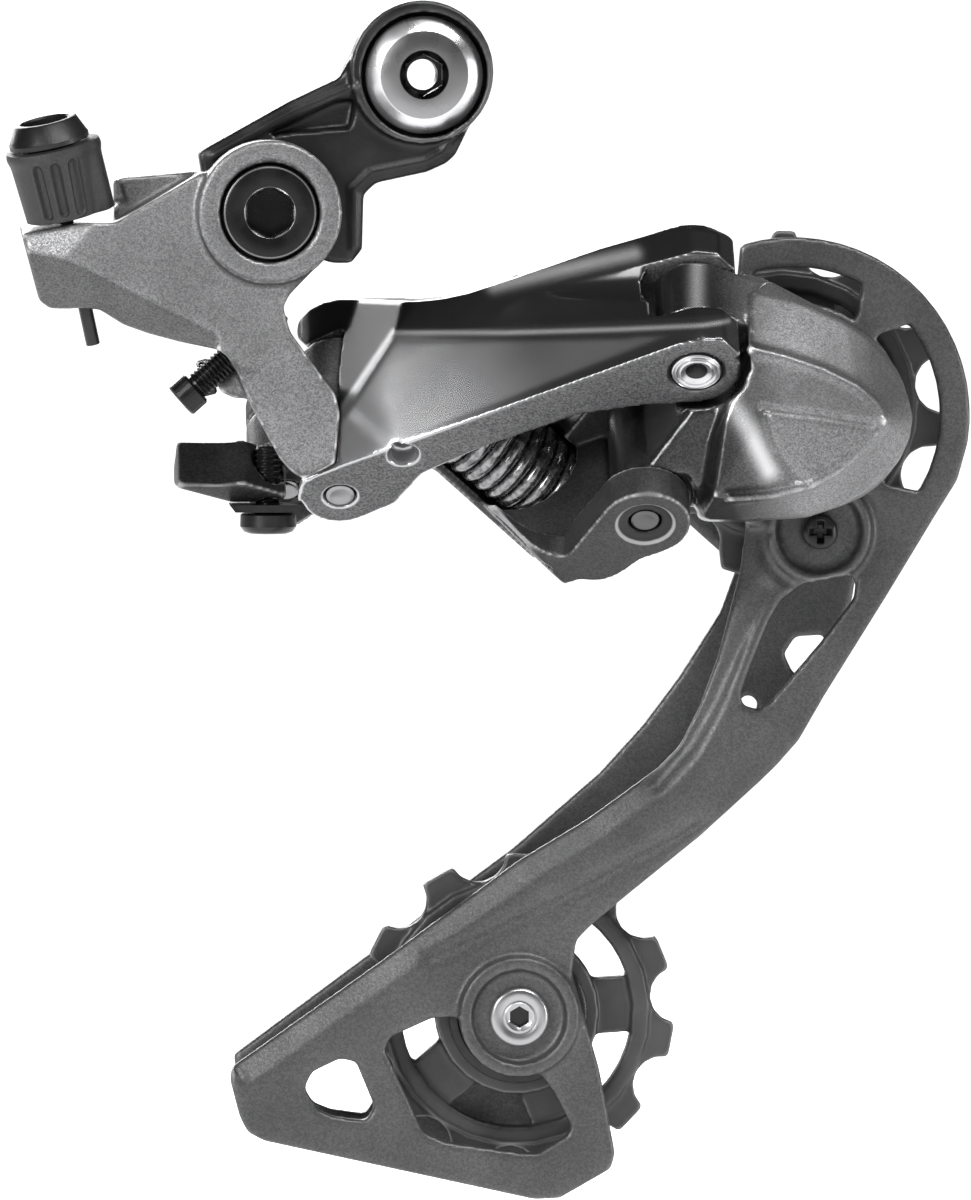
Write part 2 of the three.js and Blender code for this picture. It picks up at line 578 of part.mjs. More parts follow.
function innerLink() {
  const rear = { x: PAIR_X, v: PAIR_V };
  const front = { x: LINK_X + PAIR_X, v: LINK_V + PAIR_V };
  const along = (distance, over) => {
    const [x, v] = onLink(distance, over);
    return [x + PAIR_X, v + PAIR_V];
  };
  const angle = (LINK_ANGLE * 180) / Math.PI;
  const web = slantSlab([
    ...arc(rear.x, rear.v, 5.4, angle + 180, angle + 270, 6),
    ...arc(front.x, front.v, INNER_EAR.radius, angle - 90, angle, 6),
    along(48, -2.6), along(5, -2.4),
  ], INNER_REAR.high, INNER_EAR.low);
  const rearEar = (high) => slantSlab([
    ...arc(rear.x, rear.v, 5.4, angle + 60, angle + 270, 14), along(12, -5.2), along(12, -2),
  ], high, high + INNER_REAR.thick);
  const frontEar = (high) => slantSlab([
    ...arc(front.x, front.v, INNER_EAR.radius, angle - 90, angle + 120, 14),
    along(40, -2), along(40, -5.9),
  ], high, high + INNER_EAR.thick);
  // The lower flange turns up into a lip beside the front ear.
  const lip = slantSlab([
    ...curve([
      [19, 12.4], [22.6, 7.8], [26.8, 1.4], [28.9, -0.3], [31, -1.8], [34, -2.7], [36.2, -2.2],
      [38.6, -0.4], [41.4, 3],
    ], 18),
    [40, 9], [37.2, 12],
    ...curve([
      [35.2, 9.6], [34.1, 6.2], [33.1, 4], [31, 2.4], [27.8, 3.1], [24.5, 6.2], [20.4, 12.6],
    ], 14),
  ], INNER_EAR.low - INNER_EAR.thick, INNER_EAR.low);
  // The lip thins towards the spring's upper end.
  const lipSlope = beyond(slantPoint(20, 12, 12.6), slantDirection(-0.18, 0.18, -1));
  const trimLine = slantPoint(...along(41, 0), INNER_EAR.high);
  const trimNormal = slantDirection(
    0.385 * Math.cos(LINK_ANGLE),
    0.385 * Math.sin(LINK_ANGLE),
    -0.923,
  );
  const outboardEdge = [
    [-20, -20], [60, -20], [60, -72], [22, -72], [15.6, -66.2], [6, -56.7],
    [-1, -53], [-8, -57.5], [-12.6, -61.2], [-20, -64.1],
  ];
  const trimmedWeb = cut(web.intersect(prism(outboardEdge)), beyond(trimLine, trimNormal));
  const rearRoom = slantSlab(circle(rear.x, rear.v, 6.1, 20), INNER_REAR.high + INNER_REAR.thick,
    INNER_REAR.low - INNER_REAR.thick);
  const frontRoom = slantSlab(circle(front.x, front.v, 7, 20), INNER_EAR.high + INNER_EAR.thick,
    INNER_EAR.low - INNER_EAR.thick);
  const arm = slantSlab([
    [PAIR_X, PAIR_V + 5.2], [PAIR_X - 6, PAIR_V + 7.8], [PAIR_X - 9.5, PAIR_V + 7.3],
    [PAIR_X - 15.2, PAIR_V + 7.6], [PAIR_X - 15.6, PAIR_V + 2], [PAIR_X - 8, PAIR_V - 1],
    [PAIR_X - 4, PAIR_V - 3.6],
  ], -18.2, -10);
  const armFoot = beyond([-33.4, 0, -56.9], [-0.27, 0, -0.963]);
  // A trough holds the return spring, open towards the outer link.
  const [start, end] = [SPRING.start, SPRING.end].map((at) => new THREE.Vector3(...at));
  const direction = end.clone().sub(start).normalize();
  const past = (distance) => end.clone().addScaledVector(direction, distance).toArray();
  const before = (distance) => start.clone().addScaledVector(direction, -distance).toArray();
  const room = SPRING.radius + SPRING.wire + 0.8;
  const open = new THREE.Vector3(0, -1, 0).addScaledVector(direction, direction.y);
  const trough = cut(
    rod(before(1), past(2.8), room + 1.4, undefined, 22),
    beyond(SPRING.start, open.toArray(), 60, direction.toArray(), 80),
  );
  return cut(
    join(
      trimmedWeb, trough,
      rearEar(INNER_REAR.high), rearEar(INNER_REAR.low - INNER_REAR.thick),
      frontEar(INNER_EAR.high), frontEar(INNER_EAR.low - INNER_EAR.thick),
      cut(lip, lipSlope), cut(arm, armFoot),
    ),
    rod(before(4), past(1.2), room, undefined, 20),
    rearRoom, frontRoom,
    slantRod(rear.x, rear.v, PIN_RADIUS + GAP, -40, 20),
    slantRod(front.x, front.v, PIN_RADIUS + GAP, -40, 20),
    slantRod(front.x, front.v, 3.9, INNER_EAR.low - SUNK, 30, 24),
    rod([CLAMP.x, CLAMP.y, -50], [CLAMP.x, CLAMP.y, -64], 2.2),
    beyond([CLAMP.x, CLAMP.y, CLAMP.top], [0, 0, -1], 14, [1, 0, 0], 14),
  );
}

piece('inner_link', geometryOf(innerLink()), cageGrey());

function clampBolt() {
  const crown = CLAMP.top - 4.4;
  const at = (z) => [CLAMP.x, CLAMP.y, z];
  const head = join(
    rod(at(CLAMP.top - 1.6), at(crown + 0.4), 3.9),
    rod(at(crown + 0.5), at(crown), 3.9, 3.5),
    rod(at(CLAMP.top - 1.8), at(CLAMP.top + 8), 1.9),
  );
  return geometryOf(cut(head, rod(at(crown - 1), at(crown + 1.6), 2.2, undefined, 6)));
}

function clampPlate() {
  const plate = slab([
    [CLAMP.x - 5.4, CLAMP.top - 0.3], [CLAMP.x + 4.8, CLAMP.top - 0.3],
    [CLAMP.x + 4.4, CLAMP.top - 1.3], [CLAMP.x - 4.6, CLAMP.top - 1.3],
  ], CLAMP.y - 4.4, CLAMP.y + 4.4);
  return geometryOf(cut(plate, rod([CLAMP.x, CLAMP.y, -50], [CLAMP.x, CLAMP.y, -70], 2.2)));
}

piece('cable_clamp_bolt', clampBolt(), darkSteel());
piece('cable_clamp_plate', clampPlate(), darkSteel());

function returnSpring() {
  const start = new THREE.Vector3(...SPRING.start);
  const along = new THREE.Vector3(...SPRING.end).sub(start);
  const geometry = coil(SPRING.radius, along.length(), SPRING.turns, SPRING.wire, 9, 5);
  return { geometry, start, direction: along.normalize() };
}

const spring = returnSpring();
const springMesh = piece('return_spring', spring.geometry, darkSteel());
springMesh.position.copy(spring.start);
springMesh.quaternion.setFromUnitVectors(new THREE.Vector3(0, 0, 1), spring.direction);

function pKnuckle() {
  const innerX = LINK_X + PAIR_X;
  const innerV = LINK_V + PAIR_V;
  // The blade on the outboard face, and the rim that falls away around it.
  const blade = [
    [43.2, -36.9], [48.1, -38.1], [53.1, -39.8], [57.7, -42.1], [60.4, -44.4], [61.4, -46],
    [60.9, -47.7], [58.4, -50.6], [54.9, -53.4], [51.4, -55.2], [46.1, -56.5], [40.7, -56.9],
    [38.5, -56.6], [40, -46],
  ];
  const rim = [
    [44, -29.5], [49.9, -30.6], [53.4, -32], [57, -33.6], [59.8, -35.6], [62.2, -38.2],
    [64.2, -41.2], [65.4, -44], [65.8, -46.6], [65.5, -49.1], [64, -52.1], [61.9, -54.5],
    [59.5, -56.4], [56, -58.4], [51.6, -59.6], [42.8, -60.2], [38.1, -60.1], [37, -59.6],
    [36, -53.6],
  ];
  const skirt = [
    [46.4, -27.7], [53.4, -31.4], [59.8, -35.1], [64.4, -40.8], [66.2, -46.5], [64.5, -52.2],
    [59.9, -56.8], [51.7, -60.1], [42.8, -60.7], [37.9, -60.6], [36.8, -60.1], [35.8, -53],
  ];
  const crease = [[45.5, -45.4], [61.2, -46.6]];
  const depth = { crease: -25.9, rim: -18.5, skirt: -15, housing: -9 };
  const nose = hull([
    ...atDepth(crease, depth.crease),
    ...atDepth(blade, HOUSING_FRONT),
    ...atDepth(rim, depth.rim),
    ...atDepth(skirt, depth.skirt),
    ...atDepth(circle(CAGE_AXIS.x, CAGE_AXIS.z, HOUSING_RADIUS, 36), depth.housing),
  ]);
  const housing = disc(CAGE_AXIS, HOUSING_RADIUS, depth.housing - 1, HOUSING_BACK, 36);
  const barrelEnds = (x, v, radius, high, low) => circle(x, v, radius, 20)
    .flatMap(([px, pv]) => [slantPoint(px, pv, high), slantPoint(px, pv, low)]);
  const outerHigh = FRONT_EAR.top + FRONT_EAR.upperThick + GAP;
  const outerLow = -FRONT_EAR.thick - GAP;
  const outerBarrel = barrelEnds(LINK_X, LINK_V, 5.5, outerHigh, outerLow);
  // The barrel of the outer pin swells into the housing's top.
  const shoulder = hull([
    ...outerBarrel,
    ...atDepth([[46.4, -27.6], [53.4, -31.4], [57, -33.3]], -13),
    ...atDepth([[50, -44], [56, -40]], -17),
    ...atDepth([[50, -42]], -4),
  ]);
  const innerHigh = INNER_EAR.high + INNER_EAR.thick + GAP;
  const innerLow = INNER_EAR.low - INNER_EAR.thick - GAP;
  const innerBarrel = hull(barrelEnds(innerX, innerV, 4.5, innerHigh, innerLow));
  // The cheek fills between the inner pin's barrel and the nose.
  const cheek = hull([
    ...barrelEnds(innerX + 1, innerV, 3.6, innerHigh, innerLow),
    ...atDepth([[42, -37], [46, -57]], HOUSING_FRONT + 2.5),
    ...atDepth([[46, -38], [46, -57]], -9),
  ]);
  // The outer link's flange swings past here.
  const past = 0.6; // the cuts for the outer link's ears end this far below its lower face
  const flangeRoom = slantSlab([
    onLink(38, -3.6), onLink(49, -5.6), onLink(54, -7), onLink(54, 0), onLink(38, 0),
  ], outerLow, past);
  // Seen from outboard, an oval opening shows the whole of the outer link's front ear.
  const [earX, , earZ] = slantPoint(LINK_X, LINK_V, 0);
  const opening = circle(0, 0, 1, 24).map(([x, z]) => [earX + 6.8 * x, earZ + 5 * z]);
  const earFace = slab(opening, -60, -18)
    .intersect(slantSlab([[20, -20], [90, -20], [90, 90], [20, 90]], -4, 40));
  const outerSwing = (high, low) => slantRod(LINK_X, LINK_V, 7.4, high, low, 22);
  const innerSwing = (high, low) => slantRod(innerX, innerV, 7, high, low, 22);
  return cut(
    join(nose, housing, shoulder, innerBarrel, cheek),
    earFace, flangeRoom,
    outerSwing(-60, outerHigh),
    outerSwing(outerLow, past),
    innerSwing(-60, innerHigh),
    innerSwing(innerLow, 30),
    slantRod(LINK_X, LINK_V, BORE_RADIUS, -40, 20),
    slantRod(innerX, innerV, BORE_RADIUS, -40, 30),
    disc(CAGE_AXIS, SPRING_POCKET.radius, SPRING_POCKET.front, 5, 32),
    disc(CAGE_AXIS, AXLE_RADIUS + GAP, -18, 5),
  );
}

piece('p_knuckle', geometryOf(pKnuckle()), greyPaint());

// ---- Cage ------------------------------------------------------------------------------------
const cageAxle = atAxis(CAGE_AXIS);
const AXLE_FLANGE = { radius: 9.4, front: 1.9, back: OUTER_PLATE.front - GAP };
piece('p_axle', turned([
  [0, -17.6], [AXLE_RADIUS - 0.5, -17.6], [AXLE_RADIUS, -17.1], [AXLE_RADIUS, AXLE_FLANGE.front],
  [AXLE_FLANGE.radius, AXLE_FLANGE.front], [AXLE_FLANGE.radius, AXLE_FLANGE.back],
  [0, AXLE_FLANGE.back],
]), darkSteel(), cageAxle);
const cageSpring = piece('p_spring', coil(7.6, 11, 4.5, 1, 10, 5), darkSteel(), cageAxle);
cageSpring.rotation.x = -Math.PI / 2;
cageSpring.position.y = -11.3;
piece('p_seal', ring(12.2, 10, HOUSING_BACK + GAP, AXLE_FLANGE.back), sealRubber(), cageAxle);

// The outer plate's long rear edge, from the tail's tip up the neck.
const LONG_EDGE = [
  [-26.1, -136.6], [-5.8, -122.3], [13.5, -108.2], [22.9, -102.6], [32.7, -95.5], [35.7, -92.4],
  [38.3, -87.3], [40.9, -80.3], [43.9, -68.7], [44.8, -62],
];

function outerPlateOutline() {
  return [
    ...arc(RING.x, RING.z, RING.radius, 107, -9, 18),
    [73.9, -55.9], [71.4, -59.9], [64.2, -71.8], [55.6, -85.6], [52.1, -91.7], [49.1, -95.1],
    [46.2, -97.9], [38.5, -104.9], [27.6, -113.7], [23.2, -117.4], [21.4, -119.3], [20.8, -123.8],
    [24.6, -137.1], [26.8, -148.8], [26.2, -150.9], [19.2, -154.9], [15.7, -155.1],
    [-21.7, -146.8], [-23.9, -145.6], [-25, -143.5], [-26.3, -138.5], ...LONG_EDGE,
    ...arc(CAGE_AXIS.x, CAGE_AXIS.z, 17, 238, 128, 7),
  ].reverse();
}

// Wedges that bevel a plate's front along an edge. Neighbouring wedges meet on a shared mitre.
function edgeWedges(edge, front) {
  const width = 3.4;
  const drop = 1.5;
  const over = 1;
  const mitres = edge.map(([x, z], i) => {
    const [ax, az] = edge[Math.max(i - 1, 0)];
    const [bx, bz] = edge[Math.min(i + 1, edge.length - 1)];
    const length = Math.hypot(bx - ax, bz - az);
    const [outX, outZ] = [(az - bz) / length, (bx - ax) / length];
    const inner = [x - width * outX, z - width * outZ];
    const outer = [x + over * outX, z + over * outZ];
    const deep = front + (drop * (width + over)) / width;
    return [
      ...atDepth([inner, outer], front - 1),
      ...atDepth([inner], front),
      ...atDepth([outer], deep),
    ];
  });
  return mitres.slice(1).map((mitre, i) => hull([...mitres[i], ...mitre]));
}

const SLOT = { inner: 15.6, outer: 20.4 };
const slot = (from, to) => [
  ...arc(RING.x, RING.z, SLOT.outer, from, to, 8),
  ...arc(RING.x, RING.z, SLOT.inner, to - 6, from + 6, 8),
];
const LONG_WINDOW = [
  [59, -68.8], [60, -70], [59.7, -72.2], [55.1, -78.3], [48.2, -86.4], [46.6, -87.5],
  [44.4, -86.9], [44, -85.2], [45.2, -81.7], [47.8, -75.2], [49.6, -72.2], [52.6, -70],
].reverse();
const TAIL_WINDOW = [
  [-15, -137.3], [-11.2, -135.5], [-9, -135.9], [-6.4, -142.2], [-7.6, -144.1],
  [-12, -143.5], [-14.2, -142.6], [-16.1, -139.5],
].reverse();
const BOSS_AROUND = 8.3;
const TAIL_WINDOW_2 = [
  [-4.2, -132.5], [1.6, -129.9], [5.2, -129.7],
  ...arc(TENSION.x, TENSION.z, BOSS_AROUND, 190, 290, 7),
  [18.3, -140.1], [20.8, -144.9], [20.1, -146.3], [16.1, -148.7], [13.5, -148.6],
  [3.3, -147.1], [0.3, -145.7], [-5, -134.3],
].reverse();

function outerCagePlate() {
  const { front, back } = OUTER_PLATE;
  const bossFront = front - 1.2;
  const through = (points) => slab(points, front - 5, back + 5);
  const body = join(
    slab(outerPlateOutline(), front, back),
    disc(TENSION, BOSS_AROUND, bossFront, back, 32),
    cut(
      disc(STOP_PIN, 7.2, front - 0.6, back, 28).intersect(through(outerPlateOutline())),
      disc(CAGE_AXIS, 12.6, front - 2, front),
    ),
  );
  return cut(
    body,
    ...edgeWedges(LONG_EDGE, front),
    through(slot(106, 62)), through(slot(38, -31)),
    through(LONG_WINDOW), through(TAIL_WINDOW), through(TAIL_WINDOW_2),
    disc(TENSION, 6.5, bossFront - 1, front + 0.4, 28),
    disc(TENSION, PULLEY_BOLT_RADIUS + GAP, -5, 9, 20),
    disc(GUIDE, PULLEY_BOLT_RADIUS + GAP, -5, 9, 20),
    disc(STOP_PIN, 5.8, front - 2, front + 0.5, 28),
    disc(STOP_PIN, 1.6 + GAP, -5, 9, 16),
  );
}

function innerCagePlate() {
  const { front, back } = INNER_PLATE;
  const outline = [
    ...arc(GUIDE.x, GUIDE.z, GUIDE_DISC, 150, -40, 16),
    [61.5, -66], [60.5, -73], [58.3, -79], [54, -86], [50.5, -89], [44.5, -97.5],
    [37, -104.5], [26, -113.5], [21, -119], [20.4, -124], [24, -137], [25.6, -148.4],
    [18.5, -153.4], [15.5, -153.6],
    [-21, -145.4], [-24.6, -142], [-25.6, -136.2], [-5.6, -121.4], [13.2, -107.6],
    [25.4, -97], [31.4, -90.4], [36.5, -83.6], [42.2, -74.6], [44.4, -68.5], [36, -61],
    [34.4, -52],
  ].reverse();
  const grow = (points, x, z, factor) =>
    points.map(([px, pz]) => [x + (px - x) * factor, z + (pz - z) * factor]);
  const through = (points) => slab(points, front - 5, back + 5);
  const hub = disc(TENSION, 9.4, front, back, 28);
  return cut(
    join(slab(outline, front, back), hub),
    through([[51, -80.6], [52.6, -78.2], [57, -78], [54.5, -83], [52.4, -83.6]].reverse()),
    disc({ x: 46, z: -87.7 }, 1.3, front - 5, back + 5),
    through(grow(TAIL_WINDOW, -11, -140, 1.1)),
    through([[-3.5, -133], [1.5, -130.5], [4.5, -131.5], [3.2, -136], [1, -139.5], [-0.8, -139]]
      .reverse()),
    disc(TENSION, PULLEY_BOLT_RADIUS + GAP, 10, 25, 20),
    disc(GUIDE, PULLEY_BOLT_RADIUS + GAP, 10, 25, 20),
  );
}

piece('outer_cage_plate', geometryOf(outerCagePlate()), cageGrey());
piece('inner_cage_plate', geometryOf(innerCagePlate()), cageGrey());

function crossHeadPin() {
  const head = solid(turned([
    [0, -0.2], [1.9, -0.2], [2.4, 0.4], [2.4, 3.1], [1.6, 3.1], [1.6, 8], [0, 8],
  ], 24));
  const cross = [0, Math.PI / 2].map((turn) => {
    const blade = new THREE.BoxGeometry(3, 1.8, 0.7).rotateY(turn);
    return solid(blade);
  });
  return geometryOf(cut(head, ...cross));
}

const stopPin = atAxis(STOP_PIN);
piece('stop_pin', crossHeadPin(), darkSteel(), stopPin);

// ---- Pulleys ---------------------------------------------------------------------------------
function toothedOutline(tip, phase, tipWidth) {
  const points = [];
  const pitchAngle = 360 / TEETH;
  const seatHalf = 74;
  const tipHalf = (tipWidth / 2 / tip) * (180 / Math.PI);
  for (let i = 0; i < TEETH; i += 1) {
    const valley = phase + pitchAngle * (i + 0.5);
    const cx = PITCH_RADIUS * Math.cos(degrees(valley));
    const cy = PITCH_RADIUS * Math.sin(degrees(valley));
    const inward = valley + 180;
    points.push(...arc(cx, cy, ROLLER_SEAT, inward + seatHalf, inward - seatHalf, 6));
    const tooth = valley + pitchAngle / 2;
    points.push(...arc(0, 0, tip, tooth - tipHalf, tooth + tipHalf, 1));
  }
  return points;
}

function pulley({ tip, phase, tipWidth }) {
  const half = TOOTH_WIDTH / 2;
  const teeth = slab(toothedOutline(tip, phase, tipWidth), -half, half);
  const hub = disc({ x: 0, z: 0 }, 11.2, -HUB_WIDTH / 2, HUB_WIDTH / 2, 25);
  const rim = solid(ring(18.4, 16, -2, 2, 25));
  const spokes = 5;
  const openings = Array.from({ length: spokes }, (_, i) => {
    const from = 4 + (360 / spokes) * i + 14;
    const to = from + 360 / spokes - 28;
    return slab([...arc(0, 0, 16, from, to, 5), ...arc(0, 0, 11.4, to - 6, from + 6, 4)], -6, 6);
  });
  return geometryOf(cut(
    join(teeth, hub, rim), ...openings,
    disc({ x: 0, z: 0 }, BEARING_RADIUS + 0.4, -8, 8),
  ));
}

function pulleyBolt(start, end, headSide) {
  const headRadius = 4;
  const headThick = headSide < 0 ? 1.2 : 1.8;
  const socket = { radius: 1.4, depth: 1.5 };
  const face = headSide < 0 ? start : end;
  const at = (depth) => [0, face - headSide * depth, 0];
  return geometryOf(cut(
    join(
      rod(at(0), at(headThick), headRadius, undefined, 28),
      rod([0, start + 0.2, 0], [0, end - 0.2, 0], PULLEY_BOLT_RADIUS),
    ),
    rod(at(-1), at(socket.depth), socket.radius, undefined, 6),
  ));
}

const CAP = { outer: 9.6, inner: BEARING_RADIUS + GAP, thick: 1.2 };
for (const { name, wheel, bolt, boltFinish } of [
  { name: 'guide', wheel: GUIDE, bolt: [3.2, INNER_PLATE.back + 2.1, 1], boltFinish: darkSteel },
  {
    name: 'tension', wheel: TENSION, bolt: [1.9, INNER_PLATE.back - 0.2, -1],
    boltFinish: brightSteel,
  },
]) {
  const axle = atAxis(wheel);
  piece(`${name}_bolt`, pulleyBolt(...bolt), boltFinish(), axle);
  const bearing = ring(BEARING_RADIUS, PULLEY_BOLT_RADIUS + GAP,
    OUTER_PLATE.back + GAP, INNER_PLATE.front - GAP);
  piece(`${name}_bush`, bearing, brightSteel(), axle);
  const wheelGroup = new THREE.Group();
  wheelGroup.position.y = PULLEY_MID;
  axle.add(wheelGroup);
  piece(`${name}_pulley`, pulley(wheel), pulleyPlastic(), wheelGroup);
  for (const [side, sign] of [['outer', -1], ['inner', 1]]) {
    const near = sign * (HUB_WIDTH / 2 + GAP);
    const far = near + sign * CAP.thick;
    const cap = ring(CAP.outer, CAP.inner, Math.min(near, far), Math.max(near, far));
    piece(`${name}_${side}_cap`, cap, darkSteel(), wheelGroup);
  }
}

const part = new THREE.Group();
derailleur.position.z = -HANGER_POINT;
part.add(derailleur);

export default part;
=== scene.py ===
"""A rear bicycle derailleur's looks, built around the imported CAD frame.

Metres in the frame; sizes below are in millimetres and scaled by MM.
X is forward along the bike, Y inboard towards the wheel, Z up.
"""
import json
import math

import bmesh
import bpy
import numpy as np
from mathutils import Matrix, Vector

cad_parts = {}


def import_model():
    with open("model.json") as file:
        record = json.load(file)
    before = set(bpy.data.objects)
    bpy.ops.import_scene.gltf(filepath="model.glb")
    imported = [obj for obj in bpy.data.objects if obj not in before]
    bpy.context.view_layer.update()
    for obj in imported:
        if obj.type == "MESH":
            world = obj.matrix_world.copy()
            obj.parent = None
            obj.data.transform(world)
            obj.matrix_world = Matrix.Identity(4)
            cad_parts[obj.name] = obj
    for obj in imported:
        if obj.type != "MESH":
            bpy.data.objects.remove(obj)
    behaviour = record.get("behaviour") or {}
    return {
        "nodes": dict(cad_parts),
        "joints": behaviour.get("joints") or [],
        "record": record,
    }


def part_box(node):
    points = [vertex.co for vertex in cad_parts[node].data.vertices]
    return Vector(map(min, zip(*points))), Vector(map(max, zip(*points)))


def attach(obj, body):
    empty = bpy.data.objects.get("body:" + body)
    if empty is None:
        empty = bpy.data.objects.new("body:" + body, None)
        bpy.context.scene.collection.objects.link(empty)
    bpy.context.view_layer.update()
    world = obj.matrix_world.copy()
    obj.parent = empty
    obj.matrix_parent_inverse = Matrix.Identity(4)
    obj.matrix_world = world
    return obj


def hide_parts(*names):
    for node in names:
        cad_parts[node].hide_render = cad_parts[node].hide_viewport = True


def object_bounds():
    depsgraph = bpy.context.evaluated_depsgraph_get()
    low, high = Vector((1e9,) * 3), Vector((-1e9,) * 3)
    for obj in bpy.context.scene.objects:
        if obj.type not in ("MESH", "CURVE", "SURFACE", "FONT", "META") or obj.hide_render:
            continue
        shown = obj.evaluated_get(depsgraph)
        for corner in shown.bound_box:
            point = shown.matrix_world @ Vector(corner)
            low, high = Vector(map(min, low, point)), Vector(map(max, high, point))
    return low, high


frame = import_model()
cad_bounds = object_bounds()
NODES = frame["nodes"]
JOINTS = {joint["name"]: joint for joint in frame["joints"]}
BODY_OF = {
    node: body
    for body, members in frame["record"]["behaviour"]["bodies"].items()
    for node in members
}
SLOT_OF = {part["node"]: part["material_slot"] for part in frame["record"]["subparts"]}

MM = 0.001
INBOARD = Vector((0, 1, 0))


# ---- Places ----------------------------------------------------------------------------------
def joint_point(name):
    return Vector(JOINTS[name]["pos_m"])


def centre(node):
    low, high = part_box(node)
    return (low + high) / 2


def place(origin, axis, side=(1, 0, 0)):
    """A matrix at origin whose z runs along axis and whose x is nearest to side."""
    z = Vector(axis).normalized()
    x = Vector(side)
    x = (x - z * x.dot(z)).normalized()
    matrix = Matrix((x, z.cross(x), z)).transposed().to_4x4()
    matrix.translation = origin
    return matrix


def reach(node, point, axis):
    """Where the node starts and ends along axis, in millimetres from point."""
    axis = Vector(axis).normalized()
    along = [(vertex.co - point).dot(axis) / MM for vertex in NODES[node].data.vertices]
    return min(along), max(along)


def seat(node, point, axis, side=(1, 0, 0)):
    """A place on the axis through point, with z along axis and zero where the node starts."""
    start, _ = reach(node, point, axis)
    return place(point + Vector(axis).normalized() * start * MM, axis, side)


def seat_along_y(node):
    return seat(node, centre(node), INBOARD)


PINS_IN = Vector(JOINTS["outer_swing"]["axis"]).normalized()
REAR_PIN = joint_point("outer_swing")
FRONT_PIN = joint_point("carrier_swing")
INNER_REAR_PIN = joint_point("inner_swing")
INNER_FRONT_PIN = INNER_REAR_PIN + FRONT_PIN - REAR_PIN

# Lines of painted highlight on the outer link, as (x, z) millimetres of the frame; the ridges also
# bound its painted shade.
SCOOP_SHINE = [(9.5, -36.2), (17.6, -34.2), (28.4, -31.7)]
LINK_RIDGES = [
    [(-3.9, -42.6), (11.0, -42.4), (26.0, -41.7), (37.0, -41.0), (40.5, -40.5)],
    [(-4.1, -42.4), (-8.8, -49.2), (-11.8, -54.1)],
]


# ---- Shapes ----------------------------------------------------------------------------------
SHARP = math.radians(35)
SMOOTHING = 0.6  # how far one round moves a remembered number towards its neighbours' mean
FACING_NAMES = ("face_x", "face_y", "face_z")


def new_object(name, mesh):
    obj = bpy.data.objects.new(name, mesh)
    bpy.context.scene.collection.objects.link(obj)
    return obj


def finished(name, bm, sharp=SHARP):
    """A smooth-shaded object from bm, with edges sharper than the angle kept crisp."""
    bmesh.ops.recalc_face_normals(bm, faces=bm.faces)
    for face in bm.faces:
        face.smooth = True
    for edge in bm.edges:
        edge.smooth = edge.is_manifold and edge.calc_face_angle(0) < sharp
    mesh = bpy.data.meshes.new(name)
    bm.to_mesh(mesh)
    bm.free()
    return new_object(name, mesh)


def loft(name, rings, matrix, steps=72, sharp=SHARP):
    """A skin through rings of (height, radius) about matrix's z.

    A radius may be a number or a function of the angle. Rings that end on the axis close the
    skin; otherwise the last ring joins the first, as on a tube.
    """
    bm = bmesh.new()
    rows = []
    for height, radius in rings:
        if radius == 0:
            rows.append([bm.verts.new(matrix @ Vector((0, 0, height * MM)))])
            continue
        row = []
        for i in range(steps):
            angle = 2 * math.pi * i / steps
            r = radius(angle) if callable(radius) else radius
            point = Vector((r * math.cos(angle), r * math.sin(angle), height)) * MM
            row.append(bm.verts.new(matrix @ point))
        rows.append(row)
    pairs = list(zip(rows, rows[1:]))
    if rings[0][1] != 0:
        pairs.append((rows[-1], rows[0]))
    for a, b in pairs:
        for i in range(steps):
            j = (i + 1) % steps
            corners = [a[i % len(a)], a[j % len(a)], b[j % len(b)], b[i % len(b)]]
            corners = list(dict.fromkeys(corners))
            if len(corners) > 2:
                bm.faces.new(corners)
    return finished(name, bm, sharp)


def hexagon(flat):
    """The radius of a hexagon with this half-width across its flats."""
    return lambda angle: flat / math.cos((angle + math.pi / 6) % (math.pi / 3) - math.pi / 6)


def cross(arm, half_width):
    """The radius of a cross-shaped recess."""
    def radius(angle):
        off = abs((angle + math.pi / 4) % (math.pi / 2) - math.pi / 4)
        return max(half_width * 1.3, min(arm, half_width / max(math.sin(off), 1e-6)))
    return radius


def knurl(radius, ridges, depth):
    return lambda angle: radius - depth * (0.5 + 0.5 * math.cos(ridges * angle)) ** 2


def thread(start, end, radius, pitch, depth, rows_per_turn=8):
    """Rings whose radius rises and falls along a helix, from start to end."""
    def ring(height):
        def at(angle):
            phase = (height / pitch - angle / (2 * math.pi)) % 1
            return radius - depth * abs(2 * phase - 1)
        return height, at

    rows = round(abs(end - start) / pitch * rows_per_turn)
    return [ring(start + (end - start) * i / rows) for i in range(rows + 1)]


def wire(name, points, radius, sides=14):
    """A round wire along points given in the frame's metres."""
    bm = bmesh.new()
    rows = []
    side = Vector((0, 0, 1))
    for i, point in enumerate(points):
        ahead = points[min(i + 1, len(points) - 1)] - points[max(i - 1, 0)]
        ahead.normalize()
        side = (side - ahead * side.dot(ahead)).normalized()
        other = ahead.cross(side)
        turns = [2 * math.pi * k / sides for k in range(sides)]
        rows.append([
            bm.verts.new(point + (side * math.cos(t) + other * math.sin(t)) * radius * MM)
            for t in turns
        ])
    for a, b in zip(rows, rows[1:]):
        for i in range(sides):
            j = (i + 1) % sides
            bm.faces.new([a[i], a[j], b[j], b[i]])
    bm.faces.new(rows[0])
    bm.faces.new(rows[-1])
    return finished(name, bm, math.radians(60))


def coil_points(matrix, radius, length, turns, steps_per_turn=40):
    """Points of a coil about matrix's z."""
    points = []
    count = round(turns * steps_per_turn)
    for i in range(count + 1):
        t = i / count
        angle = 2 * math.pi * turns * t
        at = Vector((radius * math.cos(angle), radius * math.sin(angle), length * t)) * MM
        points.append(matrix @ at)
    return points


